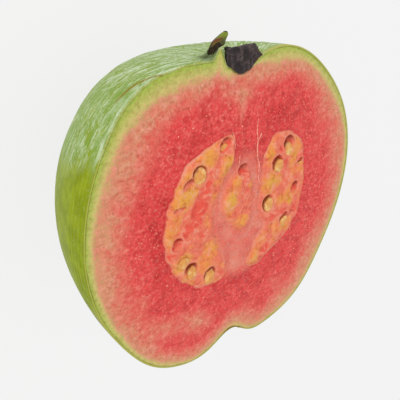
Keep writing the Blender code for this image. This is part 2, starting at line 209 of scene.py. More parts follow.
# At angles round the face: the green rim's width, its ripeness right at the skin, and the width of the
# tan band inside it.
GREEN_WIDTH = (
    (0.0, 0.044), (30.0, 0.048), (55.0, 0.080), (72.0, 0.072), (84.0, 0.022), (91.0, 0.014), (96.0, 0.055),
    (100.0, 0.066), (112.0, 0.085), (128.0, 0.105), (150.0, 0.066), (175.0, 0.048), (195.0, 0.050),
    (220.0, 0.030), (262.0, 0.036), (300.0, 0.044), (335.0, 0.052), (360.0, 0.048),
)
RIM_START = (
    (0.0, 0.10), (30.0, 0.06), (60.0, 0.0), (81.0, 0.0), (86.0, 0.15), (93.0, 0.18), (97.0, 0.04),
    (102.0, 0.0), (195.0, 0.0), (215.0, 0.05), (240.0, 0.12), (265.0, 0.15), (330.0, 0.15), (360.0, 0.10),
)
TAN_WIDTH = (
    (0.0, 0.20), (60.0, 0.17), (84.0, 0.09), (95.0, 0.05), (125.0, 0.13), (145.0, 0.21), (165.0, 0.19),
    (190.0, 0.19), (212.0, 0.12), (230.0, 0.08), (245.0, 0.09), (290.0, 0.14), (330.0, 0.20), (360.0, 0.20),
)

# Pale strands of vein in the cut face: corners of their paths, and their radius.
STRANDS = (
    (((0.150, 0.560), (0.145, 0.480), (0.155, 0.420), (0.152, 0.380), (0.160, 0.310), (0.175, 0.260),
      (0.172, 0.200), (0.185, 0.150), (0.218, 0.112)), 0.0042),
    (((0.182, 0.462), (0.176, 0.446), (0.156, 0.420)), 0.0032),
    (((-0.050, 0.515), (-0.030, 0.470), (-0.022, 0.400)), 0.0030),
    (((0.015, 0.370), (0.012, 0.335), (0.008, 0.300)), 0.0030),
)

# Dry calyx: outline of its cut side about its own middle, as (angle, radius).
CALYX_MIDDLE = (0.012, 0.912)
CALYX_OUTLINE = (
    (-98.0, 0.090), (-65.0, 0.082), (-30.0, 0.094), (-10.0, 0.110), (-1.0, 0.142), (8.0, 0.122),
    (21.0, 0.108), (42.0, 0.096), (56.0, 0.074), (86.0, 0.060), (116.0, 0.060), (147.0, 0.094),
    (153.0, 0.146), (159.0, 0.128), (168.0, 0.123), (179.0, 0.120), (193.0, 0.120), (212.0, 0.098),
    (234.0, 0.090), (262.0, 0.090),
)

# Sepal: left and right edge at sections from its root to its tip.
SEPAL_SECTIONS = (
    ((-0.204, 0.938, -0.034), (-0.180, 0.955, -0.020)),
    ((-0.210, 0.962, -0.020), (-0.154, 0.982, 0.004)),
    ((-0.198, 0.984, -0.020), (-0.108, 0.988, -0.012)),
    ((-0.172, 1.001, -0.035), (-0.078, 0.999, -0.038)),
    ((-0.130, 1.018, -0.050), (-0.060, 1.014, -0.050)),
    ((-0.088, 1.033, -0.060), (-0.053, 1.029, -0.050)),
    ((-0.069, 1.044, -0.060), (-0.057, 1.042, -0.050)),
)

# ---------------------------------------------------------------- settings that a user would change


def paint(code):
    """Linear colour with alpha 1 from a hex paint code."""
    parts = [int(code[k : k + 2], 16) / 255.0 for k in (1, 3, 5)]
    linear = [p / 12.92 if p <= 0.04045 else ((p + 0.055) / 1.055) ** 2.4 for p in parts]
    return (*linear, 1.0)


def colour(name, description, code):
    """Colour property with a hex default."""
    return FloatVectorProperty(
        name=name, description=description, default=paint(code), subtype="COLOR", size=4, min=0.0, max=1.0
    )


class SkinSettings(bpy.types.PropertyGroup):
    """Sizes and colours of the skin."""

    thickness: FloatProperty(name="Thickness", description="Skin", default=0.0004, unit="LENGTH")
    leaf: colour("Ripe green", "Skin where it is bare and ripe", "#7F8E12")
    light: colour("Light green", "Paler mottling of the skin", "#909F1C")
    deep: colour("Deep green", "Unripe streaks on the shoulder", "#7D9A3C")
    # Olive skin towards the stem is painted shade on the lower side; the olive specks elsewhere are the
    # skin's own colour.
    olive: colour("Olive", "Skin towards the stem", "#757A18")
    pale: colour("Cut edge", "Skin where the knife went through it", "#B2B05C")
    # Painted shadow: darker skin by the sepal's root, where the sepal shades it.
    sepal_shadow: colour("Stain", "Dark skin at the sepal's root", "#3C4820")
    # Pale bloom colour, also used for the lenticels; the bloom is partly painted sheen, and the same colour
    # paints a highlight line along the cut edge.
    bloom_sheen_and_highlight: colour("Bloom", "Pale waxy bloom that lies in streaks", "#C9D8B6")
    scar: colour("Scar", "Thin scars and the stem scar", "#8A742C")


class FleshSettings(bpy.types.PropertyGroup):
    """Sizes and colours of the flesh."""

    grain: FloatProperty(name="Grain", description="Height of the grit", default=0.00016, unit="LENGTH")
    rim: colour("Rim", "Flesh right under the skin", "#9CB63E")
    unripe: colour("Unripe", "Yellow-green flesh next to the rim", "#CBBF70")
    tan: colour("Tan", "Gritty band inside the green", "#D9926E")
    salmon: colour("Salmon", "Flesh inside the tan band", "#E2745F")
    coral: colour("Coral", "Ripe flesh", "#E64644")
    red: colour("Deep red", "Ripest flesh beside the seed chambers", "#D62E30")
    grit: colour("Grit", "Small pale stone cells", "#F6AC98")


class PulpSettings(bpy.types.PropertyGroup):
    """Colours of the pulp and its seeds."""

    pink: colour("Pink pulp", "Pulp between the seeds", "#EA7458")
    orange: colour("Orange pulp", "Pulp over sunken seeds", "#EC8C48")
    yellow: colour("Yellow", "Seeds that shine through", "#E2A43C")
    blush: colour("Red pulp", "Reddest pulp between the seeds", "#EA5642")
    wall: colour("Wall", "Walls between the chambers", "#E38A76")
    film: colour("Film", "Thin pale skins in the pulp and round the chambers", "#F0A286")
    # Painted shade: dark red that stands for the shade on the steep walls of the seed beds.
    pit_shade: colour("Pit", "Bottom of a seed's bed", "#A03420")
    seed: colour("Seed", "Seed coat", "#E49C48")
    seed_light: colour("Seed light", "Paler patches of a seed", "#F2C478")
    # Brown of the seeds' blotches, and painted shade on their lower parts.
    seed_brown_and_shade: colour("Seed edge", "Darker foot of a seed", "#A8602C")


class CalyxSettings(bpy.types.PropertyGroup):
    """Colours of the dry calyx and its sepal."""

    dark: colour("Calyx", "Withered tissue", "#2B2122")
    # Painted highlight: greyish tint on the crests of the calyx's wrinkles.
    crest_highlight: colour("Wrinkles", "Greyish crests of its wrinkles", "#62524E")
    olive: colour("Sepal green", "Part of the sepal that is still green", "#7F8E34")
    rust: colour("Sepal brown", "Half-dried part of the sepal", "#6C3A20")
    # Dry dark tissue of the sepal's edges, and painted shadow at its root.
    root: colour("Sepal root", "Withered root and edges of the sepal", "#2A1E12")


class StageSettings(bpy.types.PropertyGroup):
    """Floor, light and camera."""

    floor_size: FloatProperty(name="Floor", description="Side of the floor", default=6.0, unit="LENGTH")
    surround: FloatProperty(name="Surround", description="Brightness of the studio", default=0.888)
    key: FloatProperty(name="Key", description="Power of the soft key light", default=1.1, unit="POWER")
    lens: FloatProperty(name="Lens", description="Focal length", default=46.8, unit="CAMERA")


# ---------------------------------------------------------------- formulas


def to_metres(points):
    """From fruit radii about the cut face's middle to metres about the rest spot."""
    return (np.asarray(points, float) - (REST_X, REST_Y, -REST_DEPTH)) * RADIUS


def bump(angle, centre, spread):
    """Bell curve, 1 at its centre."""
    return np.exp(-(((angle - centre) / spread) ** 2))


def ease(low, high, value):
    """Smooth step from 0 at low to 1 at high."""
    t = np.clip((value - low) / (high - low), 0.0, 1.0)
    return t * t * (3.0 - 2.0 * t)


def lattice(cells, seed):
    """Random number from 0 to 1 for each whole-numbered cell: an integer hash."""
    primes = np.array([374761393, 668265263, 2147483647])[: cells.shape[-1]]
    n = (cells @ primes + seed * 974634777) & 0xFFFFFFFF
    n = ((n ^ (n >> 13)) * 1274126177) & 0xFFFFFFFF
    return ((n ^ (n >> 16)) & 0xFFFFFF) / 0xFFFFFF


def noise(points, scale, seed=0):
    """Smooth random field from -1 to 1: cell corners' random numbers, eased from corner to corner."""
    p = np.asarray(points, float) * scale
    cell = np.floor(p).astype(np.int64)
    t = p - cell
    t = t * t * (3.0 - 2.0 * t)
    total = np.zeros(p.shape[:-1])
    for corner in np.ndindex(*(2,) * p.shape[-1]):
        weight = np.prod(np.where(np.array(corner) == 1, t, 1.0 - t), axis=-1)
        total += weight * lattice(cell + corner, seed)
    return 2.0 * total - 1.0


def rough(points, scale, seed=0, octaves=3):
    """Sum of noise fields, each twice as fine and half as strong as the one before."""
    return sum(noise(points, scale * 2**k, seed + k) / 2**k for k in range(octaves))


def skin_radius(latitude, longitude):
    """Distance of the skin from the middle. Left and right outlines turn into each other round the back."""
    right_share = (1.0 + np.cos(np.radians(longitude))) / 2.0
    left = BASE_LEFT + sum(h * bump(latitude, c, s) for h, c, s in RELIEF_LEFT)
    right = BASE_RIGHT + sum(h * bump(latitude, c, s) for h, c, s in RELIEF_RIGHT)
    height, centre, outer, inner = CROWN_LIP
    lip = height * bump(latitude, centre, np.where(latitude < centre, outer, inner))
    return right * right_share + (left + lip) * (1.0 - right_share)


def skin_point(latitude, longitude, lift=0.0):
    """Point of the skin: an ellipsoid's latitude and longitude, with the radius that varies over both.
    Longitude runs from 0 at the right rim round the back to 180 at the left. lift adds to the radius."""
    radius = skin_radius(latitude, longitude) + lift
    lat, lon = np.radians(latitude), np.radians(longitude)
    x = radius * np.cos(lat) * np.cos(lon)
    y = radius * np.sin(lat)
    z = np.maximum(-DEPTH * radius * np.cos(lat) * np.sin(lon), -REST_DEPTH)
    return np.stack(np.broadcast_arrays(x, y, z), -1)


def latitudes(steps):
    """Latitudes from stem to calyx, a little closer together at both ends."""
    share = np.linspace(-1.0, 1.0, steps + 1)
    return np.union1d(90.0 * (0.8 * share + 0.2 * np.sin(share * math.pi / 2.0)), LIP_ROWS)


def span(a, b, c, d, share):
    """Point at a share of the way from b to c, on the Catmull-Rom curve through a, b, c and d."""
    curve = 2 * b + (c - a) * share + (2 * a - 5 * b + 4 * c - d) * share**2
    return (curve + (3 * b - a - 3 * c + d) * share**3) / 2.0


def closed_curve(corners, steps):
    """Smooth closed curve through its corners, with `steps` points from each to the next."""
    p = np.asarray(corners, float)
    share = (np.arange(steps) / steps)[None, :, None]
    neighbours = (np.roll(p, shift, 0)[:, None, :] for shift in (1, 0, -1, -2))
    return span(*neighbours, share).reshape(-1, p.shape[1])


def open_curve(stations, steps):
    """Smooth curve through stations along the first axis, with its ends carried on straight."""
    p = np.asarray(stations, float)
    p = np.concatenate([[2 * p[0] - p[1]], p, [2 * p[-1] - p[-2]]])
    share = (np.arange(steps) / steps).reshape(-1, *(1,) * (p.ndim - 1))
    spans = [span(a, b, c, d, share) for a, b, c, d in zip(p, p[1:], p[2:], p[3:])]
    return np.concatenate([*spans, p[-2:-1]])


def edge_distance(points, outline):
    """Distance of plane points to a closed outline, above 0 inside it: the nearest of its straight
    stretches, with the side from how often a ray to the right crosses them."""
    nearest = np.full(len(points), np.inf)
    crossings = np.zeros(len(points), int)
    x, y = points.T
    for a, b in zip(outline, np.roll(outline, -1, 0)):
        along = b - a
        t = np.clip(((points - a) @ along) / max(along @ along, 1e-12), 0.0, 1.0)
        nearest = np.minimum(nearest, np.hypot(x - a[0] - t * along[0], y - a[1] - t * along[1]))
        spans = (a[1] > y) != (b[1] > y)
        if abs(along[1]) > 1e-12:
            crossings += spans & (x < a[0] + (y - a[1]) * along[0] / along[1])
    return np.where(crossings % 2 == 1, nearest, -nearest)


def oval(points, place, half_length, half_width, heading):
    """Coordinates of points along and across an oval, 1 on its edge."""
    c, s = math.cos(math.radians(heading)), math.sin(math.radians(heading))
    offset = points - place
    along = (offset @ (c, s)) / half_length
    across = (offset @ (-s, c)) / half_width
    return along, across


# ---------------------------------------------------------------- meshes


def fill(mesh, points, faces):
    """Put points and arrays of faces, each with its own number of corners, into a mesh."""
    mesh.vertices.add(len(points))
    mesh.vertices.foreach_set("co", np.ascontiguousarray(points, np.float32).ravel())
    corners = np.concatenate([f.ravel() for f in faces]).astype(np.int32)
    sizes = np.concatenate([np.full(len(f), f.shape[1]) for f in faces])
    mesh.loops.add(len(corners))
    mesh.loops.foreach_set("vertex_index", corners)
    mesh.polygons.add(len(sizes))
    mesh.polygons.foreach_set("loop_start", (np.cumsum(sizes) - sizes).astype(np.int32))
    mesh.update(calc_edges=True)


def in_scene(name, data):
    """New object in the scene."""
    made = bpy.data.objects.new(name, data)
    bpy.context.scene.collection.objects.link(made)
    return made


def piece(name, points, faces, material, values=None, uv=None):
    """Smooth mesh object at the origin from points in fruit radii, with point values and a UV per point."""
    mesh = bpy.data.meshes.new(name)
    fill(mesh, to_metres(points), faces)
    mesh.materials.append(material)
    mesh.shade_smooth()
    for key, value in (values or {}).items():
        layer = mesh.attributes.new(key, "FLOAT", "POINT")
        layer.data.foreach_set("value", np.asarray(value, np.float32).ravel())
    if uv is not None:
        corners = np.zeros(len(mesh.loops), np.int32)
        mesh.loops.foreach_get("vertex_index", corners)
        layer = mesh.uv_layers.new(name="Surface")
        layer.data.foreach_set("uv", np.asarray(uv, np.float32)[corners].ravel())
    return in_scene(name, mesh)


def band(lower, upper):
    """Quads between two rows of point numbers, or triangles where a row is a single point."""
    if len(lower) == 1:
        return np.column_stack([np.full(len(upper) - 1, lower[0]), upper[1:], upper[:-1]])
    if len(upper) == 1:
        return np.column_stack([lower[:-1], lower[1:], np.full(len(lower) - 1, upper[0])])
    return np.column_stack([lower[:-1], lower[1:], upper[1:], upper[:-1]])


def ring(row):
    """A row of point numbers closed on itself."""
    return np.append(row, row[0])


def numbered(rows):
    """Point numbers of rows that are stored one after the other."""
    sizes = [len(row) for row in rows]
    return [np.arange(end - size, end) for end, size in zip(np.cumsum(sizes), sizes)]


def rim_numbers(index):
    """The rim of a half: up the right end of its rows, and down the left."""
    right = [row[0] for row in index]
    left = [row[-1] for row in index[-2:0:-1]]
    return np.array(right + left)


def pole_rows(grid):
    """Rows of a grid, with a single point for its first and for its last row."""
    return [grid[0].mean(0, keepdims=True), *grid[1:-1], grid[-1].mean(0, keepdims=True)]


def pole_values(grid):
    """Values of a grid's points, in the order of pole_rows."""
    return np.concatenate([grid[0, :1], grid[1:-1].ravel(), grid[-1, :1]])


def closed_forms(name, grids, material, values=None, flipped=False):
    """Piece of closed bodies, each from a grid of rows that are closed on themselves and shrink to a point
    at both ends. Flipped faces are for rows that turn the other way."""
    points, faces = [], []
    start = 0
    for grid in grids:
        rows = pole_rows(grid)
        index = [row + start if len(row) == 1 else ring(row + start) for row in numbered(rows)]
        pairs = zip(index[1:], index) if flipped else zip(index, index[1:])
        faces += [band(a, b) for a, b in pairs]
        points += rows
        start += sum(len(row) for row in rows)
    return piece(name, np.concatenate(points), faces, material, values)


# ---------------------------------------------------------------- finishes

# Noise in cycles a metre. Dots as how many a metre, and their size as a share of their spacing.
FINE_GRAIN, COARSE_GRAIN, WET_GRAIN, BROAD_GRAIN = 1700.0, 800.0, 620.0, 330.0
SPECK_GRAIN, CREASE_GRAIN, LEAF_VEINS, GRIT_GRAIN, FIBRE_GRAIN = 1900.0, 1100.0, 1500.0, 420.0, 1800.0
PORES, SPECKS, RED_DOTS, PIMPLES = (1000.0, 0.28), (1500.0, 0.30), (560.0, 0.15), (230.0, 0.085)
SKIN_BUMP, SEED_BUMP, CALYX_BUMP, SEPAL_BUMP = 0.00025, 0.00008, 0.0004, 0.00025  # in metres
SHADE_TINT = (0.66, 0.30, 0.30, 1.0)  # what the darker grains of the flesh are multiplied by


class Finish:
    """A material, its tint so far, and short names for its nodes, which take numbers and sockets alike."""

    def __init__(self, name, **constants):
        self.material = bpy.data.materials.new(name)
        self.material.use_nodes = True
        self.tree = self.material.node_tree
        self.shader = self.tree.nodes["Principled BSDF"]
        self.tint = None
        for key, value in constants.items():
            self.shader.inputs[key.replace("_", " ")].default_value = value

    def plug(self, socket, value):
        """Link a socket to another, or set its value."""
        if isinstance(value, bpy.types.NodeSocket):
            self.tree.links.new(value, socket)
        else:
            socket.default_value = value

    def node(self, kind, inputs=None, **settings):
        """New node with its settings and inputs."""
        made = self.tree.nodes.new(kind)
        for key, value in settings.items():
            setattr(made, key, value)
        for key, value in (inputs or {}).items():
            self.plug(made.inputs[key], value)
        return made

    def math(self, operation, *values, clamp=False):
        """Arithmetic on one to three numbers."""
        inputs = dict(enumerate(values))
        return self.node("ShaderNodeMath", inputs, operation=operation, use_clamp=clamp).outputs[0]

    def plus(self, first, second):
        """Sum, held between 0 and 1."""
        return self.math("ADD", first, second, clamp=True)

    def times(self, first, *others):
        """Product of any number of values."""
        for other in others:
            first = self.math("MULTIPLY", first, other)
        return first

    def total(self, *terms):
        """Sum of a number of (value, weight) terms."""
        result = 0.0
        for value, weight in terms:
            result = self.math("MULTIPLY_ADD", value, weight, result)
        return result

    def swing(self, value, reach):
        """Noise about 0: how far it is from 0.5, times a reach."""
        return self.math("MULTIPLY_ADD", value, reach, -reach / 2.0)

    def spread(self, value, low, high, to_low=0.0, to_high=1.0):
        """Map a number from one range to another, smoothly and held at both ends."""
        inputs = {"Value": value, "From Min": low, "From Max": high, "To Min": to_low, "To Max": to_high}
        return self.node("ShaderNodeMapRange", inputs, interpolation_type="SMOOTHSTEP").outputs[0]

    def place(self):
        """Object coordinates."""
        return self.node("ShaderNodeTexCoord").outputs["Object"]

    def value(self, name):
        """A point value of the piece."""
        return self.node("ShaderNodeAttribute", attribute_name=name).outputs["Fac"]

    def grains(self, scale, detail=2.0, distortion=0.0, place=None):
        """Soft noise over the object, or over a place of its own."""
        inputs = {"Vector": place or self.place(), "Scale": scale, "Detail": detail, "Distortion": distortion}
        return self.node("ShaderNodeTexNoise", inputs).outputs["Fac"]

    def streaks(self, across, along, detail, distortion):
        """Noise drawn out along the skin's meridians, in cycles over the whole half."""
        surface = self.node("ShaderNodeUVMap", uv_map="Surface").outputs[0]
        inputs = {"Vector": surface, "Scale": (across, along, 1.0)}
        return self.grains(1.0, detail, distortion, self.node("ShaderNodeMapping", inputs).outputs[0])

    def dots(self, scale, size):
        """Scattered round dots, 1 at their middles, that many a metre: nearness to random cell points."""
        cells = self.node("ShaderNodeTexVoronoi", {"Vector": self.place(), "Scale": scale, "Randomness": 1.0})
        return self.spread(cells.outputs["Distance"], size, size * 0.3)

    def mix(self, factor, first, second, mode="MIX"):
        """Mix of two colours."""
        settings = {"data_type": "RGBA", "blend_type": mode, "clamp_factor": True}
        made = self.node("ShaderNodeMix", {"Factor": factor, 6: first, 7: second}, **settings)
        return made.outputs[2]

    def ramp(self, factor, stops):
        """Colours along a number."""
        made = self.node("ShaderNodeValToRGB", {"Fac": factor})
        elements = made.color_ramp.elements
        while len(elements) < len(stops):
            elements.new(0.5)
        for element, (position, tint) in zip(elements, stops):
            element.position = position
            element.color = tint
        return made.outputs["Color"]

    def layer(self, colour_over, *shares):
        """Lay a colour over the tint, by the product of its shares."""
        self.tint = self.mix(self.times(*shares), self.tint, colour_over)

    def shade(self, *shares):
        """Darken the tint, by the product of the shares."""
        self.tint = self.mix(self.times(*shares), self.tint, SHADE_TINT, "MULTIPLY")

    def done(self, roughness=None, height=None, distance=0.0):
        """The material, with its tint, its roughness, and its bump from a height of 0 to 1, in metres."""
        self.plug(self.shader.inputs["Base Color"], self.tint)
        if roughness is not None:
            self.plug(self.shader.inputs["Roughness"], roughness)
        if height is not None:
            raised = self.node("ShaderNodeBump", {"Height": height, "Distance": distance, "Strength": 1.0})
            self.plug(self.shader.inputs["Normal"], raised.outputs[0])
        return self.material


def finish_skin(look):
    """Green skin: mottled, with a pale waxy bloom in streaks from the calyx that is partly painted sheen on
    the shoulder, thin scars and lenticels, a painted highlight line by the cut, painted shade on its lower
    side and a painted shadow by the sepal's root.
    """
    made = Finish("Guava skin", Specular_IOR_Level=0.2, IOR=1.16)
    broad = made.streaks(46.0, 15.0, 3.0, 1.6)
    fine = made.streaks(95.0, 32.0, 5.0, 1.4)
    speck = made.grains(SPECK_GRAIN, 3.0)
    shoulder, scar = made.value("shoulder"), made.value("scar")
    made.tint = made.mix(made.spread(made.grains(BROAD_GRAIN, 4.0), 0.36, 0.66), look.leaf, look.light)
    made.layer(look.olive, 0.35, made.spread(speck, 0.5, 0.72))
    # painted shade: olive over the lower side, towards the stem
    made.layer(look.olive, made.value("low_side_shade"))
    made.layer(look.deep, shoulder, made.spread(broad, 0.42, 0.58, 0.35, 1.0))
    rubbed = made.math("ADD", fine, made.swing(speck, 0.5))
    lines = made.times(0.58, made.spread(rubbed, 0.38, 0.66), made.spread(broad, 0.62, 0.38))
    cloud = made.times(0.42, made.spread(rubbed, 0.36, 0.66))
    # pale bloom in streaks, partly painted sheen on the shoulder
    bloom_and_sheen = made.math("MULTIPLY", made.value("bloom_and_sheen"), made.plus(lines, cloud), clamp=True)
    made.layer(look.bloom_sheen_and_highlight, bloom_and_sheen)
    made.layer(look.bloom_sheen_and_highlight, 0.14, made.dots(*PORES))
    # painted highlight: a thin pale line beside the left cut edge, on its upper part
    made.layer(look.bloom_sheen_and_highlight, made.value("edge"))
    made.layer(look.pale, made.value("cut"))
    # painted shadow of the sepal on the skin by its root
    made.layer(look.sepal_shadow, made.value("sepal_shadow"))
    made.layer(look.scar, made.plus(scar, made.swing(speck, 1.0)), made.spread(scar, 0.0, 0.3))
    ridges = made.times(fine, made.spread(shoulder, 0.0, 1.0, 0.10, 0.7))
    height = made.math("MULTIPLY_ADD", speck, 0.4, ridges)
    return made.done(made.spread(bloom_and_sheen, 0.0, 0.8, 0.40, 0.55), height, SKIN_BUMP)


def mottle_flesh(made, flesh, ripe, fine, coarse, broad, specks, pimples, deep):
    """Tint the flesh by its ripeness, then lay pale grains, darker grains, rosy patches and red dots on it.
    Pale and dark grains are fainter towards the green rim."""
    made.tint = made.ramp(ripe, (
        (0.0, flesh.rim), (0.15, flesh.unripe), (0.24, flesh.tan), (0.31, flesh.tan),
        (0.45, flesh.salmon), (0.62, flesh.coral), (0.78, flesh.coral), (0.95, flesh.red),
    ))
    inner = made.spread(ripe, 0.16, 0.34, 0.35, 1.0)
    outer = made.spread(ripe, 0.66, 0.50)
    made.layer(flesh.grit, 0.38, made.spread(fine, 0.50, 0.76), inner)
    pale = made.times(made.spread(ripe, 0.9, 0.3, 0.30, 1.0), made.spread(ripe, 0.14, 0.30))
    made.layer(flesh.grit, 0.42, made.spread(coarse, 0.53, 0.68), pale)
    made.layer(flesh.grit, 0.18, specks, made.spread(broad, 0.42, 0.58), inner)
    made.shade(0.50, made.spread(coarse, 0.52, 0.37), made.spread(ripe, 0.40, 0.62, 0.45, 1.0))
    made.layer(flesh.coral, 0.40, made.spread(coarse, 0.50, 0.36), made.spread(ripe, 0.20, 0.34), outer)
    made.layer(flesh.coral, 0.30, made.spread(broad, 0.46, 0.60), made.spread(ripe, 0.22, 0.32), outer)
    made.shade(0.38, made.spread(broad, 0.52, 0.38), deep)
    made.layer(flesh.coral, 0.35, made.spread(broad, 0.52, 0.66), deep)
    made.shade(0.55, made.spread(fine, 0.49, 0.31), inner)
    made.layer(flesh.red, 0.60, made.dots(*RED_DOTS), deep, inner)
    made.layer(flesh.red, 0.45, pimples, inner)


def tint_pulp(made, pulp, fine, coarse, broad, wet, pulp_share):
    """Lay the pulp over the flesh, from red to yellow by its glow, then the chambers' walls, the thin skins
    and the painted shade along the lips of the pits' steep walls."""
    mottle = made.math("ADD", made.swing(coarse, 0.5), made.swing(broad, 1.0))
    glow = made.math("ADD", made.value("glow"), mottle)
    juice = made.ramp(glow, (
        (0.05, pulp.blush), (0.26, pulp.pink), (0.38, pulp.pink), (0.60, pulp.orange), (0.95, pulp.yellow),
    ))
    juice = made.mix(made.times(0.50, made.spread(wet, 0.54, 0.64)), juice, pulp.film)
    juice = made.mix(made.times(0.50, made.spread(wet, 0.47, 0.32)), juice, SHADE_TINT, "MULTIPLY")
    made.layer(juice, pulp_share)
    walls = made.mix(made.times(0.55, made.spread(coarse, 0.40, 0.62)), pulp.wall, pulp.pink)
    walls = made.mix(made.times(0.4, made.spread(fine, 0.48, 0.72)), walls, pulp.film)
    made.layer(walls, made.value("wall"))
    film = made.value("film")
    made.layer(pulp.film, made.plus(film, made.swing(fine, 0.5)), made.spread(film, 0.0, 0.25))
    # painted shade along the steep walls of the pits
    made.layer(pulp.pit_shade, made.value("pit_shade"))


def finish_flesh(flesh, pulp):
    """Moist flesh: green to red by ripeness, gritty, with pink and orange pulp in the chambers."""
    made = Finish("Guava flesh", Specular_IOR_Level=0.28, Subsurface_Weight=0.05,
                  Subsurface_Radius=(1.0, 0.35, 0.25), Subsurface_Scale=0.0005)
    fine, coarse = made.grains(FINE_GRAIN, 3.0), made.grains(COARSE_GRAIN, 4.0)
    broad, wet = made.grains(BROAD_GRAIN, 3.0), made.grains(WET_GRAIN, 3.0, 0.8)
    specks, pulp_share = made.dots(*SPECKS), made.value("pulp")
    wander = made.math("ADD", made.swing(fine, 0.18), made.swing(coarse, 0.18))
    wander = made.times(wander, made.spread(made.value("ripe"), 0.05, 0.30, 0.30, 1.0))
    ripe = made.math("ADD", made.value("ripe"), wander)
    deep = made.spread(ripe, 0.50, 0.66)
    pimples = made.times(made.dots(*PIMPLES), deep)
    mottle_flesh(made, flesh, ripe, fine, coarse, broad, specks, pimples, deep)
    tint_pulp(made, pulp, fine, coarse, broad, wet, pulp_share)
    bare_pimples = made.times(pimples, made.math("SUBTRACT", 1.0, pulp_share))
    height = made.total((specks, 0.5), (fine, 0.9), (coarse, 1.3), (bare_pimples, 2.6),
                        (made.times(wet, pulp_share), 2.2))
    return made.done(made.spread(coarse, 0.3, 0.7, 0.42, 0.60), height, flesh.grain)


def finish_seed(pulp):
    """Hard cream-yellow seed coat under a film of pulp, with brown blotches and painted shade on its lower
    part.
    """
    made = Finish("Guava seed", Specular_IOR_Level=0.5, Subsurface_Weight=0.08, Subsurface_Scale=0.0006)
    mottle = made.grains(FINE_GRAIN, 3.0)
    made.tint = made.mix(made.spread(made.grains(WET_GRAIN), 0.46, 0.66), pulp.seed, pulp.seed_light)
    # brown blotches, and painted shade on the lower part of the seed
    made.layer(pulp.seed_brown_and_shade, made.plus(made.value("foot_shade"), made.math("MULTIPLY_ADD", mottle, 1.3, -0.52)))
    made.layer(pulp.orange, made.value("film"))
    return made.done(made.spread(mottle, 0.3, 0.7, 0.34, 0.5), mottle, SEED_BUMP)


def finish_grit(flesh):
    """Pale pink stone cells, glossier than the flesh."""
    made = Finish("Guava grit", Specular_IOR_Level=0.4, Roughness=0.35)
    made.tint = made.mix(made.spread(made.grains(GRIT_GRAIN), 0.46, 0.74), flesh.salmon, flesh.grit)
    return made.done()


def finish_strand(flesh):
    """Pale fibre, a little wet."""
    made = Finish("Guava vein", Specular_IOR_Level=0.4, Roughness=0.45)
    made.tint = made.mix(made.spread(made.grains(FIBRE_GRAIN), 0.4, 0.7), flesh.grit, flesh.salmon)
    return made.done()


def finish_calyx(look):
    """Withered tissue: near black, with a greyish painted highlight on the crests of its wrinkles."""
    made = Finish("Dry calyx", Specular_IOR_Level=0.35)
    creases = made.grains(CREASE_GRAIN, 4.0, 1.4)
    made.tint = look.dark
    # painted highlight on the wrinkles' crests
    made.layer(look.crest_highlight, made.value("crest"), made.spread(creases, 0.35, 0.62))
    made.layer(look.rust, made.value("browned"))
    return made.done(made.spread(creases, 0.3, 0.7, 0.48, 0.68), creases, CALYX_BUMP)


def finish_sepal(look):
    """Half-dried lobe: olive in its middle, rusty lower down, near black at its root and edges; the black at
    its root and along a lower band is partly painted shadow.
    """
    made = Finish("Dry sepal", Specular_IOR_Level=0.12, Roughness=0.55)
    veins = made.grains(LEAF_VEINS, 3.0, 0.6)
    made.tint = made.mix(made.value("rusty"), look.olive, look.rust)
    # dry dark edges and tip, and painted shadow at the root and along a lower band
    made.layer(look.root, made.plus(made.value("withered_and_shaded"), made.swing(veins, 0.7)))
    return made.done(None, veins, SEPAL_BUMP)


# ---------------------------------------------------------------- skin

SKIN_SWELL, SKIN_RIDGES, STEM_RING = 0.0035, 0.0022, 0.010  # heights of the skin's relief
RIM_DROP, CREST_HEIGHT = 0.0015, 0.0005  # the skin's outer edge sinks, and its cut edge stands proud
SHOULDER = (17.0, 36.0)  # latitudes over which bare skin turns into the bloomed shoulder
POLE_LONGITUDE = 90.0
INNER_COLUMNS = 24  # round the inner skin
SCAR_LONGITUDES = np.arange(170.0, 180.0, 0.4)  # extra columns across the thin scar


def skin_relief(latitude, longitude):
    """Low waves of the skin, nothing at the cut edge: noise drawn out along the meridians."""
    latitude, longitude = np.broadcast_arrays(latitude, longitude)
    lat, lon = np.radians(latitude), np.radians(longitude)
    away = np.clip(np.sin(lon), 0.0, 1.0) ** 0.5
    direction = np.stack([np.cos(lat) * np.cos(lon), np.sin(lat), np.cos(lat) * np.sin(lon)], -1)
    direction *= (2.5, 2.0, 2.5)
    swell = SKIN_SWELL * rough(direction, 1.6, 3)
    near_calyx = ease(-30.0, 60.0, latitude) * ease(90.0, 78.0, latitude)
    ridges = SKIN_RIDGES * rough(np.stack([longitude / 4.0, latitude / 26.0], -1), 1.0, 11) * near_calyx
    scar_ring = STEM_RING * bump(latitude, -85.5, 1.6)
    return (swell + ridges) * away + scar_ring * ease(0.0, 12.0, longitude) * ease(180.0, 168.0, longitude)


def cut_margin(latitude, longitude):
    """Pale ragged margin beside the knife's cut: wide low down, narrow along the whole right side."""
    by_cut = np.minimum(longitude, 180.0 - longitude)
    ragged = 1.0 + 0.35 * rough(np.column_stack([longitude / 6.0, latitude / 6.0]), 1.0, 13)
    reach = (2.5 + 7.0 * ease(-15.0, -45.0, latitude)) * ragged
    low = ease(1.2 * reach, 0.3 * reach, by_cut) * ease(-8.0, -30.0, latitude)
    right = ease(9.0, 3.0, longitude / ragged) * ease(88.0, 74.0, latitude)
    return 0.9 * np.maximum(low, right)


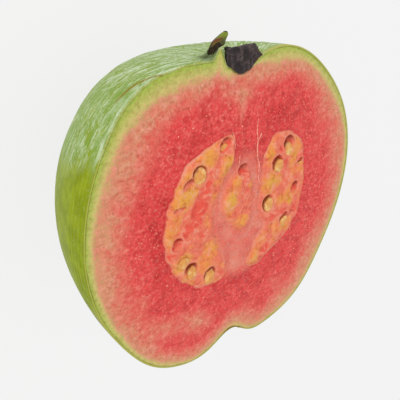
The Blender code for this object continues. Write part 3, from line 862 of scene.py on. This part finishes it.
def skin_values(latitude, longitude):
    """Where the skin has bloom, partly painted sheen, deep streaks, scars and pale lines by the cut, one of
    them a painted highlight, and where painted shade darkens its lower side towards the stem and a painted
    shadow lies by the sepal's root."""
    wander = 9.0 * rough(np.column_stack([longitude, latitude]) / 22.0, 1.0, 5, 3)
    shoulder = ease(*SHOULDER, latitude + wander)
    path = 174.0 + 0.0031 * np.clip(latitude - 47.0, 0.0, 14.0) ** 3
    streak = 0.9 * bump(longitude, path, 0.95) * ease(44.0, 50.0, latitude) * ease(63.0, 59.0, latitude)
    stem = np.clip(1.4 * bump(latitude, -90.0, 5.5), 0.0, 1.0)
    basin = 0.45 * ease(84.0, 88.0, latitude)
    return {
        "shoulder": shoulder,
        # bloom, stronger towards the calyx, partly painted sheen on the shoulder
        "bloom_and_sheen": shoulder * (0.72 + 0.6 * ease(42.0, 75.0, latitude)) * ease(89.0, 82.0, latitude),
        # painted shade: olive over the lower side, towards the stem
        "low_side_shade": 0.6 * ease(2.0, -60.0, latitude + wander),
        # painted highlight: a thin pale line beside the left cut edge, on its upper part
        "edge": 0.42 * bump(longitude, 178.7, 0.6) * ease(26.0, 36.0, latitude) * ease(62.0, 54.0, latitude),
        # painted shadow of the sepal on the skin by its root
        "sepal_shadow": 0.9 * bump(latitude, 78.3, 2.2) * bump(longitude, 160.0, 17.0),
        "scar": np.clip(streak + stem + basin, 0.0, 1.0),
        "cut": cut_margin(latitude, longitude),
    }


def half_places(lats, lons):
    """Latitude and longitude of every point of a half's rows."""
    lat, lon = (grid.copy() for grid in np.broadcast_arrays(lats, lons))
    lon[[0, -1]] = POLE_LONGITUDE
    return np.stack([pole_values(lat), pole_values(lon)])


def half_back(lats, lons, inset):
    """Rows of a half's back, set in from the skin and no lower than the rest spot allows."""
    grid = skin_point(lats, lons, -inset)
    grid[..., 2] = np.maximum(grid[..., 2], -REST_DEPTH + inset)
    return pole_rows(grid)


def make_skin(look, lat_steps, lon_steps):
    """Thin shell: the outer skin, its cut edge turned over in two narrow rings, and the inner skin."""
    lats = latitudes(lat_steps)[:, None]
    lons = np.union1d(np.linspace(0.0, 180.0, lon_steps + 1), SCAR_LONGITUDES)[None, :]
    few = np.linspace(0.0, 180.0, INNER_COLUMNS + 1)[None, :]
    outer_rows = pole_rows(skin_point(lats, lons, skin_relief(lats, lons)))
    rows = outer_rows + half_back(lats, few, look.thickness / RADIUS)
    index = numbered(rows)
    outer, inner = index[: len(outer_rows)], index[len(outer_rows) :]
    rim, inner_rim = rim_numbers(outer), rim_numbers(inner)
    points = np.concatenate(rows)
    points[rim, 2] -= RIM_DROP
    crest = (points[rim] + points[inner_rim]) / 2.0
    crest[:, 2] = CREST_HEIGHT
    crest_index = np.arange(len(points), len(points) + len(crest))
    faces = [band(a, b) for a, b in zip(outer, outer[1:])]
    faces += [band(b, a) for a, b in zip(inner, inner[1:])]
    faces += [band(ring(rim), ring(crest_index)), band(ring(crest_index), ring(inner_rim))]
    places = np.concatenate([half_places(lats, lons), half_places(lats, few)], axis=1)
    latitude, longitude = np.concatenate([places, places[:, rim]], axis=1)
    values = skin_values(latitude, longitude)
    values["cut"][crest_index] = 1.0
    uv = np.column_stack([longitude / 180.0, (latitude + 90.0) / 180.0])
    return piece("skin", np.concatenate([points, crest]), faces, finish_skin(look), values, uv)


# ---------------------------------------------------------------- flesh

WALLS_MIDDLE, WALLS_HALF_SIZES = (0.04, -0.04), (0.30, 0.40)  # where pale walls part the chambers
GLOW_LEVEL = 0.45  # how orange the pulp is between its seeds
GROOVE_DEPTH = 0.004  # of the narrow groove round the pulp
PULP_FOLDS, PULP_GRAIN, FLESH_SWELL, FLESH_GRAIN = 0.005, 0.0035, 0.0022, 0.0016  # heights of the relief
RIM_SINK, RIM_REACH = 0.0025, 0.006  # how far the flesh sinks at the skin, and over what width
CALYX_BASIN = (0.009, 0.098, 0.086)  # depth, outer and inner radius of the hollow under the calyx
FLESH_INSET = 0.9  # how deep the flesh's back lies in the skin, in thicknesses
BACK_COLUMNS = 16


def around(angle, stations):
    """Value at an angle in degrees, straight from station to station round the face."""
    angles, widths = np.array(stations).T
    return np.interp(np.mod(angle, 360.0), angles, widths)


def patch(points, place, half_sizes):
    """Soft spot, 1 at its middle."""
    return np.exp(-np.sum(((points - place) / half_sizes) ** 2, axis=1))


def ripeness(points, depth):
    """From 0 or a paler start at the skin to 0.25 at the green rim's end, 0.6 at the tan band's end and
    0.82 deep inside, with patches and mottling added."""
    angle = np.degrees(np.arctan2(points[:, 1], points[:, 0]))
    wave = 1.0 + 0.25 * rough(points, 3.5, 21)
    green, tan = around(angle, GREEN_WIDTH) * wave, around(angle, TAN_WIDTH) * wave
    start = around(angle, RIM_START)
    ripe = start + (0.25 - start) * np.clip(depth / green, 0.0, 1.0)
    ripe += 0.35 * np.clip((depth - green) / tan, 0.0, 1.0)
    ripe += 0.22 * ease(0.0, 0.20, depth - green - tan)
    mottle = 0.05 * rough(points, 7.0, 31) + 0.03 * noise(points, 30.0, 37)
    mottle += 0.20 * sum(strength * patch(points, place, sizes) for place, sizes, strength in PATCHES)
    return ripe + mottle * ease(0.02, 0.12, depth)


def pulp_distance(points):
    """Distance to the nearest chamber's outline, above 0 inside it."""
    return np.maximum.reduce([edge_distance(points, closed_curve(c, CHAMBER_STEPS)) for c in CHAMBERS])


def sunken_seeds(points):
    """Glow of the pulp, low domes and pale rims: each sunken seed is a flat-topped bell over its oval,
    and red patches take glow away."""
    glow = GLOW_LEVEL + 0.26 * rough(points, 8.0, 53)
    glow -= sum(strength * patch(points, place, sizes) for place, sizes, strength in BLUSHES)
    domes, rims = np.zeros(len(points)), np.zeros(len(points))
    for place, half_length, half_width, heading, strength, rise in GLOWS:
        reach = np.hypot(*oval(points, place, half_length, half_width, heading))
        dome = np.exp(-0.8 * reach**3)
        glow = np.maximum(glow, 0.0) * (1.0 - dome) + np.maximum(glow, strength) * dome
        domes += rise * dome
        rims = np.maximum(rims, 0.38 * strength * bump(reach, 1.04, 0.11))
    return glow, domes, rims


def seed_pits(points):
    """Drop, painted shade at the lip, lost glow and pale rim of the pits: each is an oval that drops at its
    steep wall and runs out at the far side, and the painted shade lies along that steep wall."""
    drop, painted_pit_shade, lost, rims = np.zeros((4, len(points)))
    for place, half_length, half_width, heading, depth, steep in PITS:
        share = 1.0 - np.hypot(*oval(points, place, half_length, half_width, heading))
        toward, _ = oval(points, place, half_length, half_width, steep)
        slope = np.clip(0.55 + 0.6 * toward, 0.0, 1.0)
        drop += depth * ease(0.0, 0.42, share) * slope
        lip = ease(-0.06, 0.06, share) * ease(0.85, 0.40, share)
        # painted shade at the lip of the steep wall
        painted_pit_shade = np.maximum(painted_pit_shade, 0.92 * lip * ease(0.42, 0.85, slope))
        lost += 0.45 * ease(0.0, 0.3, share) * ease(0.2, 0.5, slope)
        rims = np.maximum(rims, 0.40 * bump(share, -0.12, 0.14))
    return drop, painted_pit_shade, lost, rims


def flesh_form(points, depth):
    """Height of the cut face and its point values: grain, and pulp that stands proud inside the chambers
    with its sunken seeds and pits. Chamber edges are crisp, and soft where the pale walls part them."""
    inside = pulp_distance(points) + 0.010 * noise(points, 13.0, 59) + 0.006 * noise(points, 34.0, 57)
    core = ease(1.15, 0.75, np.hypot(*((points - WALLS_MIDDLE) / WALLS_HALF_SIZES).T))
    pulp = ease(0.0, 1.0, 0.5 + 0.5 * inside / (0.006 + 0.034 * core))
    glow, domes, dome_rims = sunken_seeds(points)
    drop, painted_pit_shade, lost, pit_rims = seed_pits(points)
    height = PULP_HEIGHT * ease(-0.002, 0.030, inside) - GROOVE_DEPTH * bump(inside, -0.004, 0.006)
    height += (PULP_FOLDS * rough(points, 11.0, 41) + PULP_GRAIN * rough(points, 26.0, 45)) * pulp
    height += (FLESH_GRAIN * noise(points, 55.0, 43) + FLESH_SWELL * rough(points, 14.0, 47)) * (1.0 - pulp)
    basin, outer, inner = CALYX_BASIN
    height -= RIM_SINK * np.exp(-depth / RIM_REACH)
    height -= basin * ease(outer, inner, np.hypot(*(points - CALYX_MIDDLE).T))
    height += domes - drop
    wall = 0.95 * core * (1.0 - pulp) * (0.85 + 0.35 * rough(points, 16.0, 67))
    folds = ease(0.16, 0.02, np.abs(rough(points, 10.0, 63))) * pulp * 0.24
    edge = (0.62 - 0.35 * core) * bump(inside, 0.002, 0.006 + 0.012 * core)
    edge *= 0.8 + 0.6 * rough(points, 9.0, 69)
    values = {
        "ripe": ripeness(points, depth),
        "pulp": pulp,
        "glow": glow - lost,
        "wall": np.clip(wall, 0.0, 1.0),
        "film": np.maximum.reduce([edge, folds, dome_rims * pulp, pit_rims * pulp]),
        "pit_shade": painted_pit_shade,
    }
    return height, values


def make_flesh(flesh, pulp, thickness, lat_steps, rings):
    """Closed body: the back lies just inside the skin, and the cut side is a polar grid from the rim
    to the core's middle, raised by flesh_form."""
    lats = latitudes(lat_steps)[:, None]
    lons = np.linspace(0.0, 180.0, BACK_COLUMNS + 1)[None, :]
    back_rows = half_back(lats, lons, FLESH_INSET * thickness / RADIUS)
    index = numbered(back_rows)
    back = np.concatenate(back_rows)
    rim_index = rim_numbers(index)
    rim, count = back[rim_index, :2], len(rim_index)
    shares = np.linspace(1.0, 0.0, rings + 1)[:-1, None, None]
    flat = np.concatenate([(CORE_MIDDLE + (rim - CORE_MIDDLE) * shares).reshape(-1, 2), [CORE_MIDDLE]])
    depth = np.abs(edge_distance(flat, rim[:: max(1, count // 250)]))
    height, face_values = flesh_form(flat, depth)
    back[rim_index, 2] = height[:count]
    points = np.concatenate([back, np.column_stack([flat, height])[count:]])
    circles = np.arange(len(back), len(points) - 1).reshape(-1, count)
    rows = [rim_index, *circles]
    faces = [band(a, b) for a, b in zip(index, index[1:])]
    faces += [band(ring(a), ring(b)) for a, b in zip(rows, rows[1:])]
    faces.append(band(ring(rows[-1]), np.array([len(points) - 1])))
    values = {}
    for key, value in face_values.items():
        values[key] = np.concatenate([np.zeros(len(back)), value[count:]])
        values[key][rim_index] = value[:count]
    return piece("flesh", points, faces, finish_flesh(flesh, pulp), values)


# ---------------------------------------------------------------- seeds, veins and grit

SEED_ROWS, SEED_SPOKES = 20, 28
SEED_TAPER = 0.16  # how much narrower a seed's first end is
SEED_TOP = 0.55  # height at which a seed's top flattens, in half widths
SEED_DENTS, SEED_RANDOM = 0.13, 61
STRAND_STEPS, STRAND_SIDES, STRAND_LIFT = 8, 8, 0.0015
GRIT_RANDOM = 9
GRIT_SIDES = 6
GRIT_LAYERS = ((1.0, -0.5), (0.85, 0.35), (0.45, 0.60))  # radius and height of a stone cell's rings
GRIT_SIZES = (0.0022, 0.0050)
GRIT_DEPTH, GRIT_CLEARANCE = 0.16, 0.015  # least distance from the skin and from the pulp


def seed_form(half_length, half_width, heading, random):
    """Ovoid: a circle about the long axis swept from end to end, narrower at one end and flatter on top,
    with low random dents, turned to its heading."""
    turn = np.linspace(0.0, 2.0 * math.pi, SEED_SPOKES, endpoint=False)[None, :]
    sweep = np.linspace(0.0, math.pi, SEED_ROWS + 1)[:, None]
    radius = half_width * np.sin(sweep) * (1.0 - SEED_TAPER * (1.0 + np.cos(sweep)) / 2.0)
    x, y, z = np.broadcast_arrays(
        half_length * np.cos(sweep), radius * np.cos(turn), 0.85 * radius * np.sin(turn))
    top = SEED_TOP * half_width
    grid = np.stack([x, y, np.where(z > 0.0, top * np.tanh(z / top), z)], -1)
    grid *= 1.0 + SEED_DENTS * rough(grid / half_width, 1.7, random)[..., None]
    c, s = math.cos(math.radians(heading)), math.sin(math.radians(heading))
    return grid @ np.array([[c, s, 0.0], [-s, c, 0.0], [0.0, 0.0, 1.0]])


def make_seeds(pulp):
    """Seeds that stand in the pulp, with painted shade on their lower parts, and filmed over where they are
    sunken.
    """
    grids, foot_shade, film = [], [], []
    for number, (place, half_length, half_width, heading, middle) in enumerate(SEEDS):
        grid = seed_form(half_length, half_width, heading, SEED_RANDOM + number)
        # painted shade: darker towards the bottom of each seed
        foot_shade.append(pole_values(ease(0.80, 0.25, grid[..., 2] / (half_width * 0.50))))
        film.append(np.full(len(foot_shade[-1]), 0.5 * ease(0.0, -0.012, middle)))
        grids.append(grid + (*place, middle))
    values = {"foot_shade": np.concatenate(foot_shade), "film": np.concatenate(film)}
    return closed_forms("seeds", grids, finish_seed(pulp), values)


def make_strands(flesh):
    """Veins: a circle carried along a smooth path in the cut face, half sunk, thin at both ends."""
    turn = np.linspace(0.0, 2.0 * math.pi, STRAND_SIDES, endpoint=False)[None, :, None]
    up = np.array([0.0, 0.0, 1.0])
    grids = []
    for corners, radius in STRANDS:
        path = open_curve(corners, STRAND_STEPS)
        along = np.gradient(path, axis=0)
        across = np.column_stack([-along[:, 1], along[:, 0], np.zeros(len(path))])
        across /= np.linalg.norm(across, axis=1, keepdims=True)
        size = radius * np.sin(np.linspace(0.02, math.pi - 0.02, len(path))) ** 0.4
        line = np.column_stack([path, np.full(len(path), STRAND_LIFT)])
        circle = across[:, None] * np.cos(turn) + up * np.sin(turn)
        grids.append(line[:, None] + size[:, None, None] * circle)
    return closed_forms("veins", grids, finish_strand(flesh), flipped=True)


def scatter_grit(amount):
    """Places, depths and sizes of stone cells: drawn evenly over a disc, and kept where they lie in the
    flesh, clear of the skin and the pulp."""
    draw = np.random.default_rng(GRIT_RANDOM)
    angle = draw.uniform(0.0, 2.0 * math.pi, 3 * amount)
    reach = np.sqrt(draw.uniform(0.0, 1.0, 3 * amount))
    flat = np.column_stack([reach * np.cos(angle), reach * np.sin(angle)]) * 1.02
    lats = np.linspace(-90.0, 90.0, 181)
    right, left = skin_point(lats, 0.0)[:, :2], skin_point(lats[::-1], 180.0)[:, :2]
    depth = edge_distance(flat, np.concatenate([right, left]))
    keep = (pulp_distance(flat) < -GRIT_CLEARANCE) & (depth > GRIT_DEPTH)
    flat, depth = flat[keep][:amount], depth[keep][:amount]
    size = draw.uniform(*GRIT_SIZES, len(flat)) * (0.8 + 0.8 * draw.uniform(0.0, 1.0, len(flat)) ** 4)
    return flat, depth, size


def make_grit(flesh, amount):
    """Stone cells: low domes scattered over the flesh, each a circle that shrinks to its top in two steps."""
    flat, depth, size = scatter_grit(amount)
    height, _ = flesh_form(flat, depth)
    turn = np.linspace(0.0, 2.0 * math.pi, GRIT_SIDES, endpoint=False)
    circle = np.column_stack([np.cos(turn), np.sin(turn)])
    rings = [np.dstack([flat[:, None] + circle * (size * share)[:, None, None],
                        np.broadcast_to((height + size * rise)[:, None], (len(flat), GRIT_SIDES))])
             for share, rise in GRIT_LAYERS]
    points = np.stack(rings, axis=1).reshape(-1, 3)
    first = (np.arange(len(flat)) * GRIT_SIDES * len(GRIT_LAYERS))[:, None]
    step = np.arange(GRIT_SIDES)
    after = (step + 1) % GRIT_SIDES
    faces = []
    for base in (0, GRIT_SIDES):
        above = base + GRIT_SIDES
        corners = (first + base + step, first + base + after, first + above + after, first + above + step)
        faces.append(np.stack(corners, -1).reshape(-1, 4))
    faces += [first + 2 * GRIT_SIDES + step, first + step[::-1]]
    return piece("grit", points, faces, finish_grit(flesh))


# ---------------------------------------------------------------- calyx and sepal

CALYX_ROWS, CALYX_SPOKES = 71, 180
CALYX_FRONT, CALYX_BACK = 0.012, 0.085  # how far it bulges out of the face and into the basin
CALYX_LIFT, CALYX_LEAST = 0.009, 0.006  # height of its edge, and of the deepest dip in its front
CALYX_RIDGES, CALYX_RIPPLE = 0.012, 0.006
SEPAL_ROWS, SEPAL_COLUMNS = 9, 25  # rows between two sections, and points across
SEPAL_CUP, SEPAL_CRINKLE, SEPAL_HALF_THICKNESS = 0.10, 0.004, 0.010


def calyx_radius(angle):
    """Radius of the calyx outline at an angle, straight from corner to corner."""
    angles, radii = np.array(CALYX_OUTLINE).T
    first = angles[0]
    return np.interp((np.asarray(angle, float) - first) % 360.0 + first, angles, radii)


def make_calyx(look):
    """Crumpled stump: for each share of the way from the middle of its front over the edge to the middle
    of its back, and each angle, the outline's radius by that share, wrinkled along the radii."""
    sweep = np.linspace(0.0, math.pi, CALYX_ROWS)[:, None]
    angle = np.linspace(0.0, 360.0, CALYX_SPOKES, endpoint=False)[None, :]
    reach, facing = np.sin(sweep) ** 0.8, np.cos(sweep)
    direction = np.stack([np.cos(np.radians(angle)), np.sin(np.radians(angle))], -1)
    flat = direction * (calyx_radius(angle) * reach)[..., None]
    ripple = rough(np.concatenate([direction * 3.2 + 0.0 * flat, flat * 9.0], -1)[..., :3], 1.7, 71)
    ripple = ripple * ease(0.1, 0.7, reach)
    ridge = 1.0 - np.abs(rough(flat * (24.0, 12.0), 1.0, 75))
    front = ease(-0.2, 0.3, facing)
    z = np.where(facing > 0.0, CALYX_FRONT, CALYX_BACK) * facing * np.sqrt(np.abs(facing)) + CALYX_LIFT
    z = z + (CALYX_RIDGES * (ridge - 0.7) + CALYX_RIPPLE * ripple) * (0.4 + 0.6 * front)
    z = np.where(facing > 0.0, np.maximum(z, CALYX_LEAST), z)
    flat = flat * (1.0 + 0.035 * ripple[..., None])
    grid = np.concatenate([flat + CALYX_MIDDLE, z[..., None]], -1)
    # painted highlight: where the greyish tint lies, on the ridges, more on the front
    crest = np.clip((ridge - 0.45) * 1.6, 0.0, 1.0) * (0.3 + 0.7 * front)
    by_right = np.abs(np.mod(angle + 20.0, 360.0) - 20.0)
    browned = 0.55 * bump(reach, 1.0, 0.10) * ease(40.0, 10.0, by_right)
    values = {"crest": pole_values(crest), "browned": pole_values(browned)}
    return closed_forms("calyx_stump", [grid], finish_calyx(look), values, flipped=True)


def make_sepal(look):
    """Thin curled blade: straight rows between two smooth edges, bulged and crinkled, with its thickness
    as the distance between two sheets that close at their edges."""
    edges = open_curve(SEPAL_SECTIONS, SEPAL_ROWS)
    across = np.linspace(0.0, 1.0, SEPAL_COLUMNS)[None, :, None]
    share = np.linspace(0.0, 1.0, len(edges))[:, None]
    sheet = edges[:, :1] * (1.0 - across) + edges[:, 1:] * across
    normal = np.cross(np.gradient(sheet, axis=0), np.gradient(sheet, axis=1))
    normal /= np.linalg.norm(normal, axis=2, keepdims=True)
    width = np.linalg.norm(edges[:, 1:] - edges[:, :1], axis=2, keepdims=True)
    bow = across * (1.0 - across)
    crinkle = rough(np.stack(np.broadcast_arrays(across[..., 0] * 5.0, share * 4.0), -1), 1.0, 81)
    sheet = sheet + normal * (SEPAL_CRINKLE * crinkle[..., None] - SEPAL_CUP * width * 4.0 * bow)
    edge = np.minimum(1.0, 6.0 * bow) * np.minimum(1.0, 8.0 * (1.02 - share))[..., None]
    half = normal * SEPAL_HALF_THICKNESS * (0.35 + 0.65 * edge)
    grid = np.concatenate([sheet + half, (sheet - half)[:, ::-1]], axis=1)
    wide = np.concatenate([across[..., 0], across[:, ::-1, 0]], axis=1)
    wide, along = np.broadcast_arrays(wide, share)
    # near black at the root, the edges, the tip and a lower band; at the root and that band it is partly
    # painted shadow
    withered_and_shaded = np.maximum.reduce([
        ease(0.36, 0.22, along),
        0.85 * ease(0.14, 0.02, np.minimum(wide, 1.0 - wide)),
        ease(0.86, 0.96, along),
        0.8 * bump(along, 0.34, 0.16) * ease(0.45, 0.8, wide),
    ])
    rusty = bump(along, 0.42, 0.16) * ease(0.95, 0.45, wide)
    values = {"withered_and_shaded": pole_values(withered_and_shaded), "rusty": pole_values(rusty)}
    return closed_forms("sepal_lobe", [grid], finish_sepal(look), values, flipped=True)


# ---------------------------------------------------------------- stage

CAMERA_RIGHT = (0.7749, 0.0, 0.6321)
CAMERA_UP = (0.2618, 0.9102, -0.3209)
CAMERA_BACK = (-0.5754, 0.4141, 0.7053)
CAMERA_PLACE = (-1.942, 1.360, 2.0375)
KEY_PLACE, KEY_SIZE = (-0.42, 0.40, 0.30), 0.35  # in metres
FLOOR_TINT, FLOOR_LIGHT = (0.11, 0.11, 0.11, 1.0), 0.793
WHITE = (1.0, 1.0, 1.0, 1.0)


def add_camera(look):
    """Camera over the left of the calyx end, looking down on the cut face."""
    data = bpy.data.cameras.new("Camera")
    data.lens = look.lens
    data.clip_start = 0.001
    made = in_scene("Camera", data)
    turned = Matrix((CAMERA_RIGHT, CAMERA_UP, CAMERA_BACK)).transposed().to_4x4()
    turned.translation = to_metres(CAMERA_PLACE)
    made.matrix_world = turned
    bpy.context.scene.camera = made


def add_floor(look):
    """Plain pale floor, faintly lit from within so that shadows on it stay light."""
    half = look.floor_size / 2.0
    mesh = bpy.data.meshes.new("floor")
    corners = np.array([[-half, -half, 0.0], [half, -half, 0.0], [half, half, 0.0], [-half, half, 0.0]])
    fill(mesh, corners, [np.array([[0, 1, 2, 3]])])
    made = Finish("Studio floor", Roughness=0.9, Specular_IOR_Level=0.0,
                  Emission_Color=WHITE, Emission_Strength=FLOOR_LIGHT)
    made.tint = FLOOR_TINT
    mesh.materials.append(made.done())
    floor = in_scene("floor", mesh)


def add_light(look):
    """Large soft light from the calyx's side and the left, over a bright surround."""
    data = bpy.data.lights.new("Key", "AREA")
    data.shape = "DISK"
    data.size = KEY_SIZE
    data.energy = look.key
    made = in_scene("Key", data)
    made.location = KEY_PLACE
    aim = -made.location
    made.rotation_euler = aim.to_track_quat("-Z", "Y").to_euler()
    world = bpy.data.worlds.new("Studio")
    world.use_nodes = True
    background = world.node_tree.nodes["Background"]
    background.inputs["Color"].default_value = WHITE
    background.inputs["Strength"].default_value = look.surround
    bpy.context.scene.world = world
    bpy.context.scene.view_settings.view_transform = "Standard"


# ---------------------------------------------------------------- operators and panel


def dress(made, node_name):
    """A piece rides on the fruit and stands in for a solid, which is hidden."""
    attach(made, "root")
    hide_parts(node_name)


class GUAVA_OT_stage(bpy.types.Operator):
    """Add the floor, the light and the camera"""

    bl_idname = "guava.stage"
    bl_label = "Stage"

    def execute(self, context):
        look = context.scene.guava_stage
        add_camera(look)
        add_floor(look)
        add_light(look)
        return {"FINISHED"}


class GUAVA_OT_skin(bpy.types.Operator):
    """Add the skin"""

    bl_idname = "guava.skin"
    bl_label = "Skin"
    lat_steps: IntProperty(name="Rows", description="From stem to calyx", default=250)
    lon_steps: IntProperty(name="Columns", description="Round the back", default=180)

    def execute(self, context):
        made = make_skin(context.scene.guava_skin, self.lat_steps, self.lon_steps)
        dress(made, "guava_half")
        return {"FINISHED"}


class GUAVA_OT_flesh(bpy.types.Operator):
    """Add the flesh with its pulp"""

    bl_idname = "guava.flesh"
    bl_label = "Flesh"
    lat_steps: IntProperty(name="Spokes", description="Half the number of spokes", default=250)
    rings: IntProperty(name="Rings", description="From the core's middle to the rim", default=170)

    def execute(self, context):
        scene = context.scene
        thickness = scene.guava_skin.thickness
        made = make_flesh(scene.guava_flesh, scene.guava_pulp, thickness, self.lat_steps, self.rings)
        dress(made, "guava_half")
        return {"FINISHED"}


class GUAVA_OT_seeds(bpy.types.Operator):
    """Add the seeds that stand in the pulp"""

    bl_idname = "guava.seeds"
    bl_label = "Seeds"

    def execute(self, context):
        made = make_seeds(context.scene.guava_pulp)
        dress(made, "guava_half")
        return {"FINISHED"}


class GUAVA_OT_veins(bpy.types.Operator):
    """Add the pale veins of the flesh"""

    bl_idname = "guava.veins"
    bl_label = "Veins"

    def execute(self, context):
        made = make_strands(context.scene.guava_flesh)
        dress(made, "guava_half")
        return {"FINISHED"}


class GUAVA_OT_grit(bpy.types.Operator):
    """Add the stone cells of the flesh"""

    bl_idname = "guava.grit"
    bl_label = "Grit"
    amount: IntProperty(name="Amount", description="Number of stone cells", default=620)

    def execute(self, context):
        made = make_grit(context.scene.guava_flesh, self.amount)
        dress(made, "guava_half")
        return {"FINISHED"}


class GUAVA_OT_crown(bpy.types.Operator):
    """Add the dry calyx and its sepal"""

    bl_idname = "guava.crown"
    bl_label = "Calyx and sepal"

    def execute(self, context):
        look = context.scene.guava_calyx
        dress(make_calyx(look), "calyx")
        dress(make_sepal(look), "sepal")
        return {"FINISHED"}


OPERATORS = (
    GUAVA_OT_stage, GUAVA_OT_skin, GUAVA_OT_flesh, GUAVA_OT_seeds, GUAVA_OT_veins, GUAVA_OT_grit,
    GUAVA_OT_crown,
)
SETTINGS = {
    "guava_skin": SkinSettings,
    "guava_flesh": FleshSettings,
    "guava_pulp": PulpSettings,
    "guava_calyx": CalyxSettings,
    "guava_stage": StageSettings,
}


class GUAVA_PT_panel(bpy.types.Panel):
    """Pieces of the guava half"""

    bl_idname = "GUAVA_PT_panel"
    bl_label = "Guava half"
    bl_space_type = "VIEW_3D"
    bl_region_type = "UI"
    bl_category = "Guava"

    def draw(self, context):
        for operator in OPERATORS:
            self.layout.operator(operator.bl_idname)
        for key, group in SETTINGS.items():
            box = self.layout.box()
            for name in group.__annotations__:
                box.prop(getattr(context.scene, key), name)


def register():
    """Register the settings, the operators and the panel."""
    for key, group in SETTINGS.items():
        bpy.utils.register_class(group)
        setattr(bpy.types.Scene, key, PointerProperty(type=group))
    for operator in OPERATORS:
        bpy.utils.register_class(operator)
    bpy.utils.register_class(GUAVA_PT_panel)


def unregister():
    """Take out what register put in."""
    bpy.utils.unregister_class(GUAVA_PT_panel)
    for operator in reversed(OPERATORS):
        bpy.utils.unregister_class(operator)
    for key, group in reversed(SETTINGS.items()):
        delattr(bpy.types.Scene, key)
        bpy.utils.unregister_class(group)


def main():
    """Build every piece."""
    register()
    bpy.ops.guava.stage()
    bpy.ops.guava.skin()
    bpy.ops.guava.flesh()
    bpy.ops.guava.seeds()
    bpy.ops.guava.veins()
    bpy.ops.guava.grit()
    bpy.ops.guava.crown()


if __name__ == "__main__":
    main()
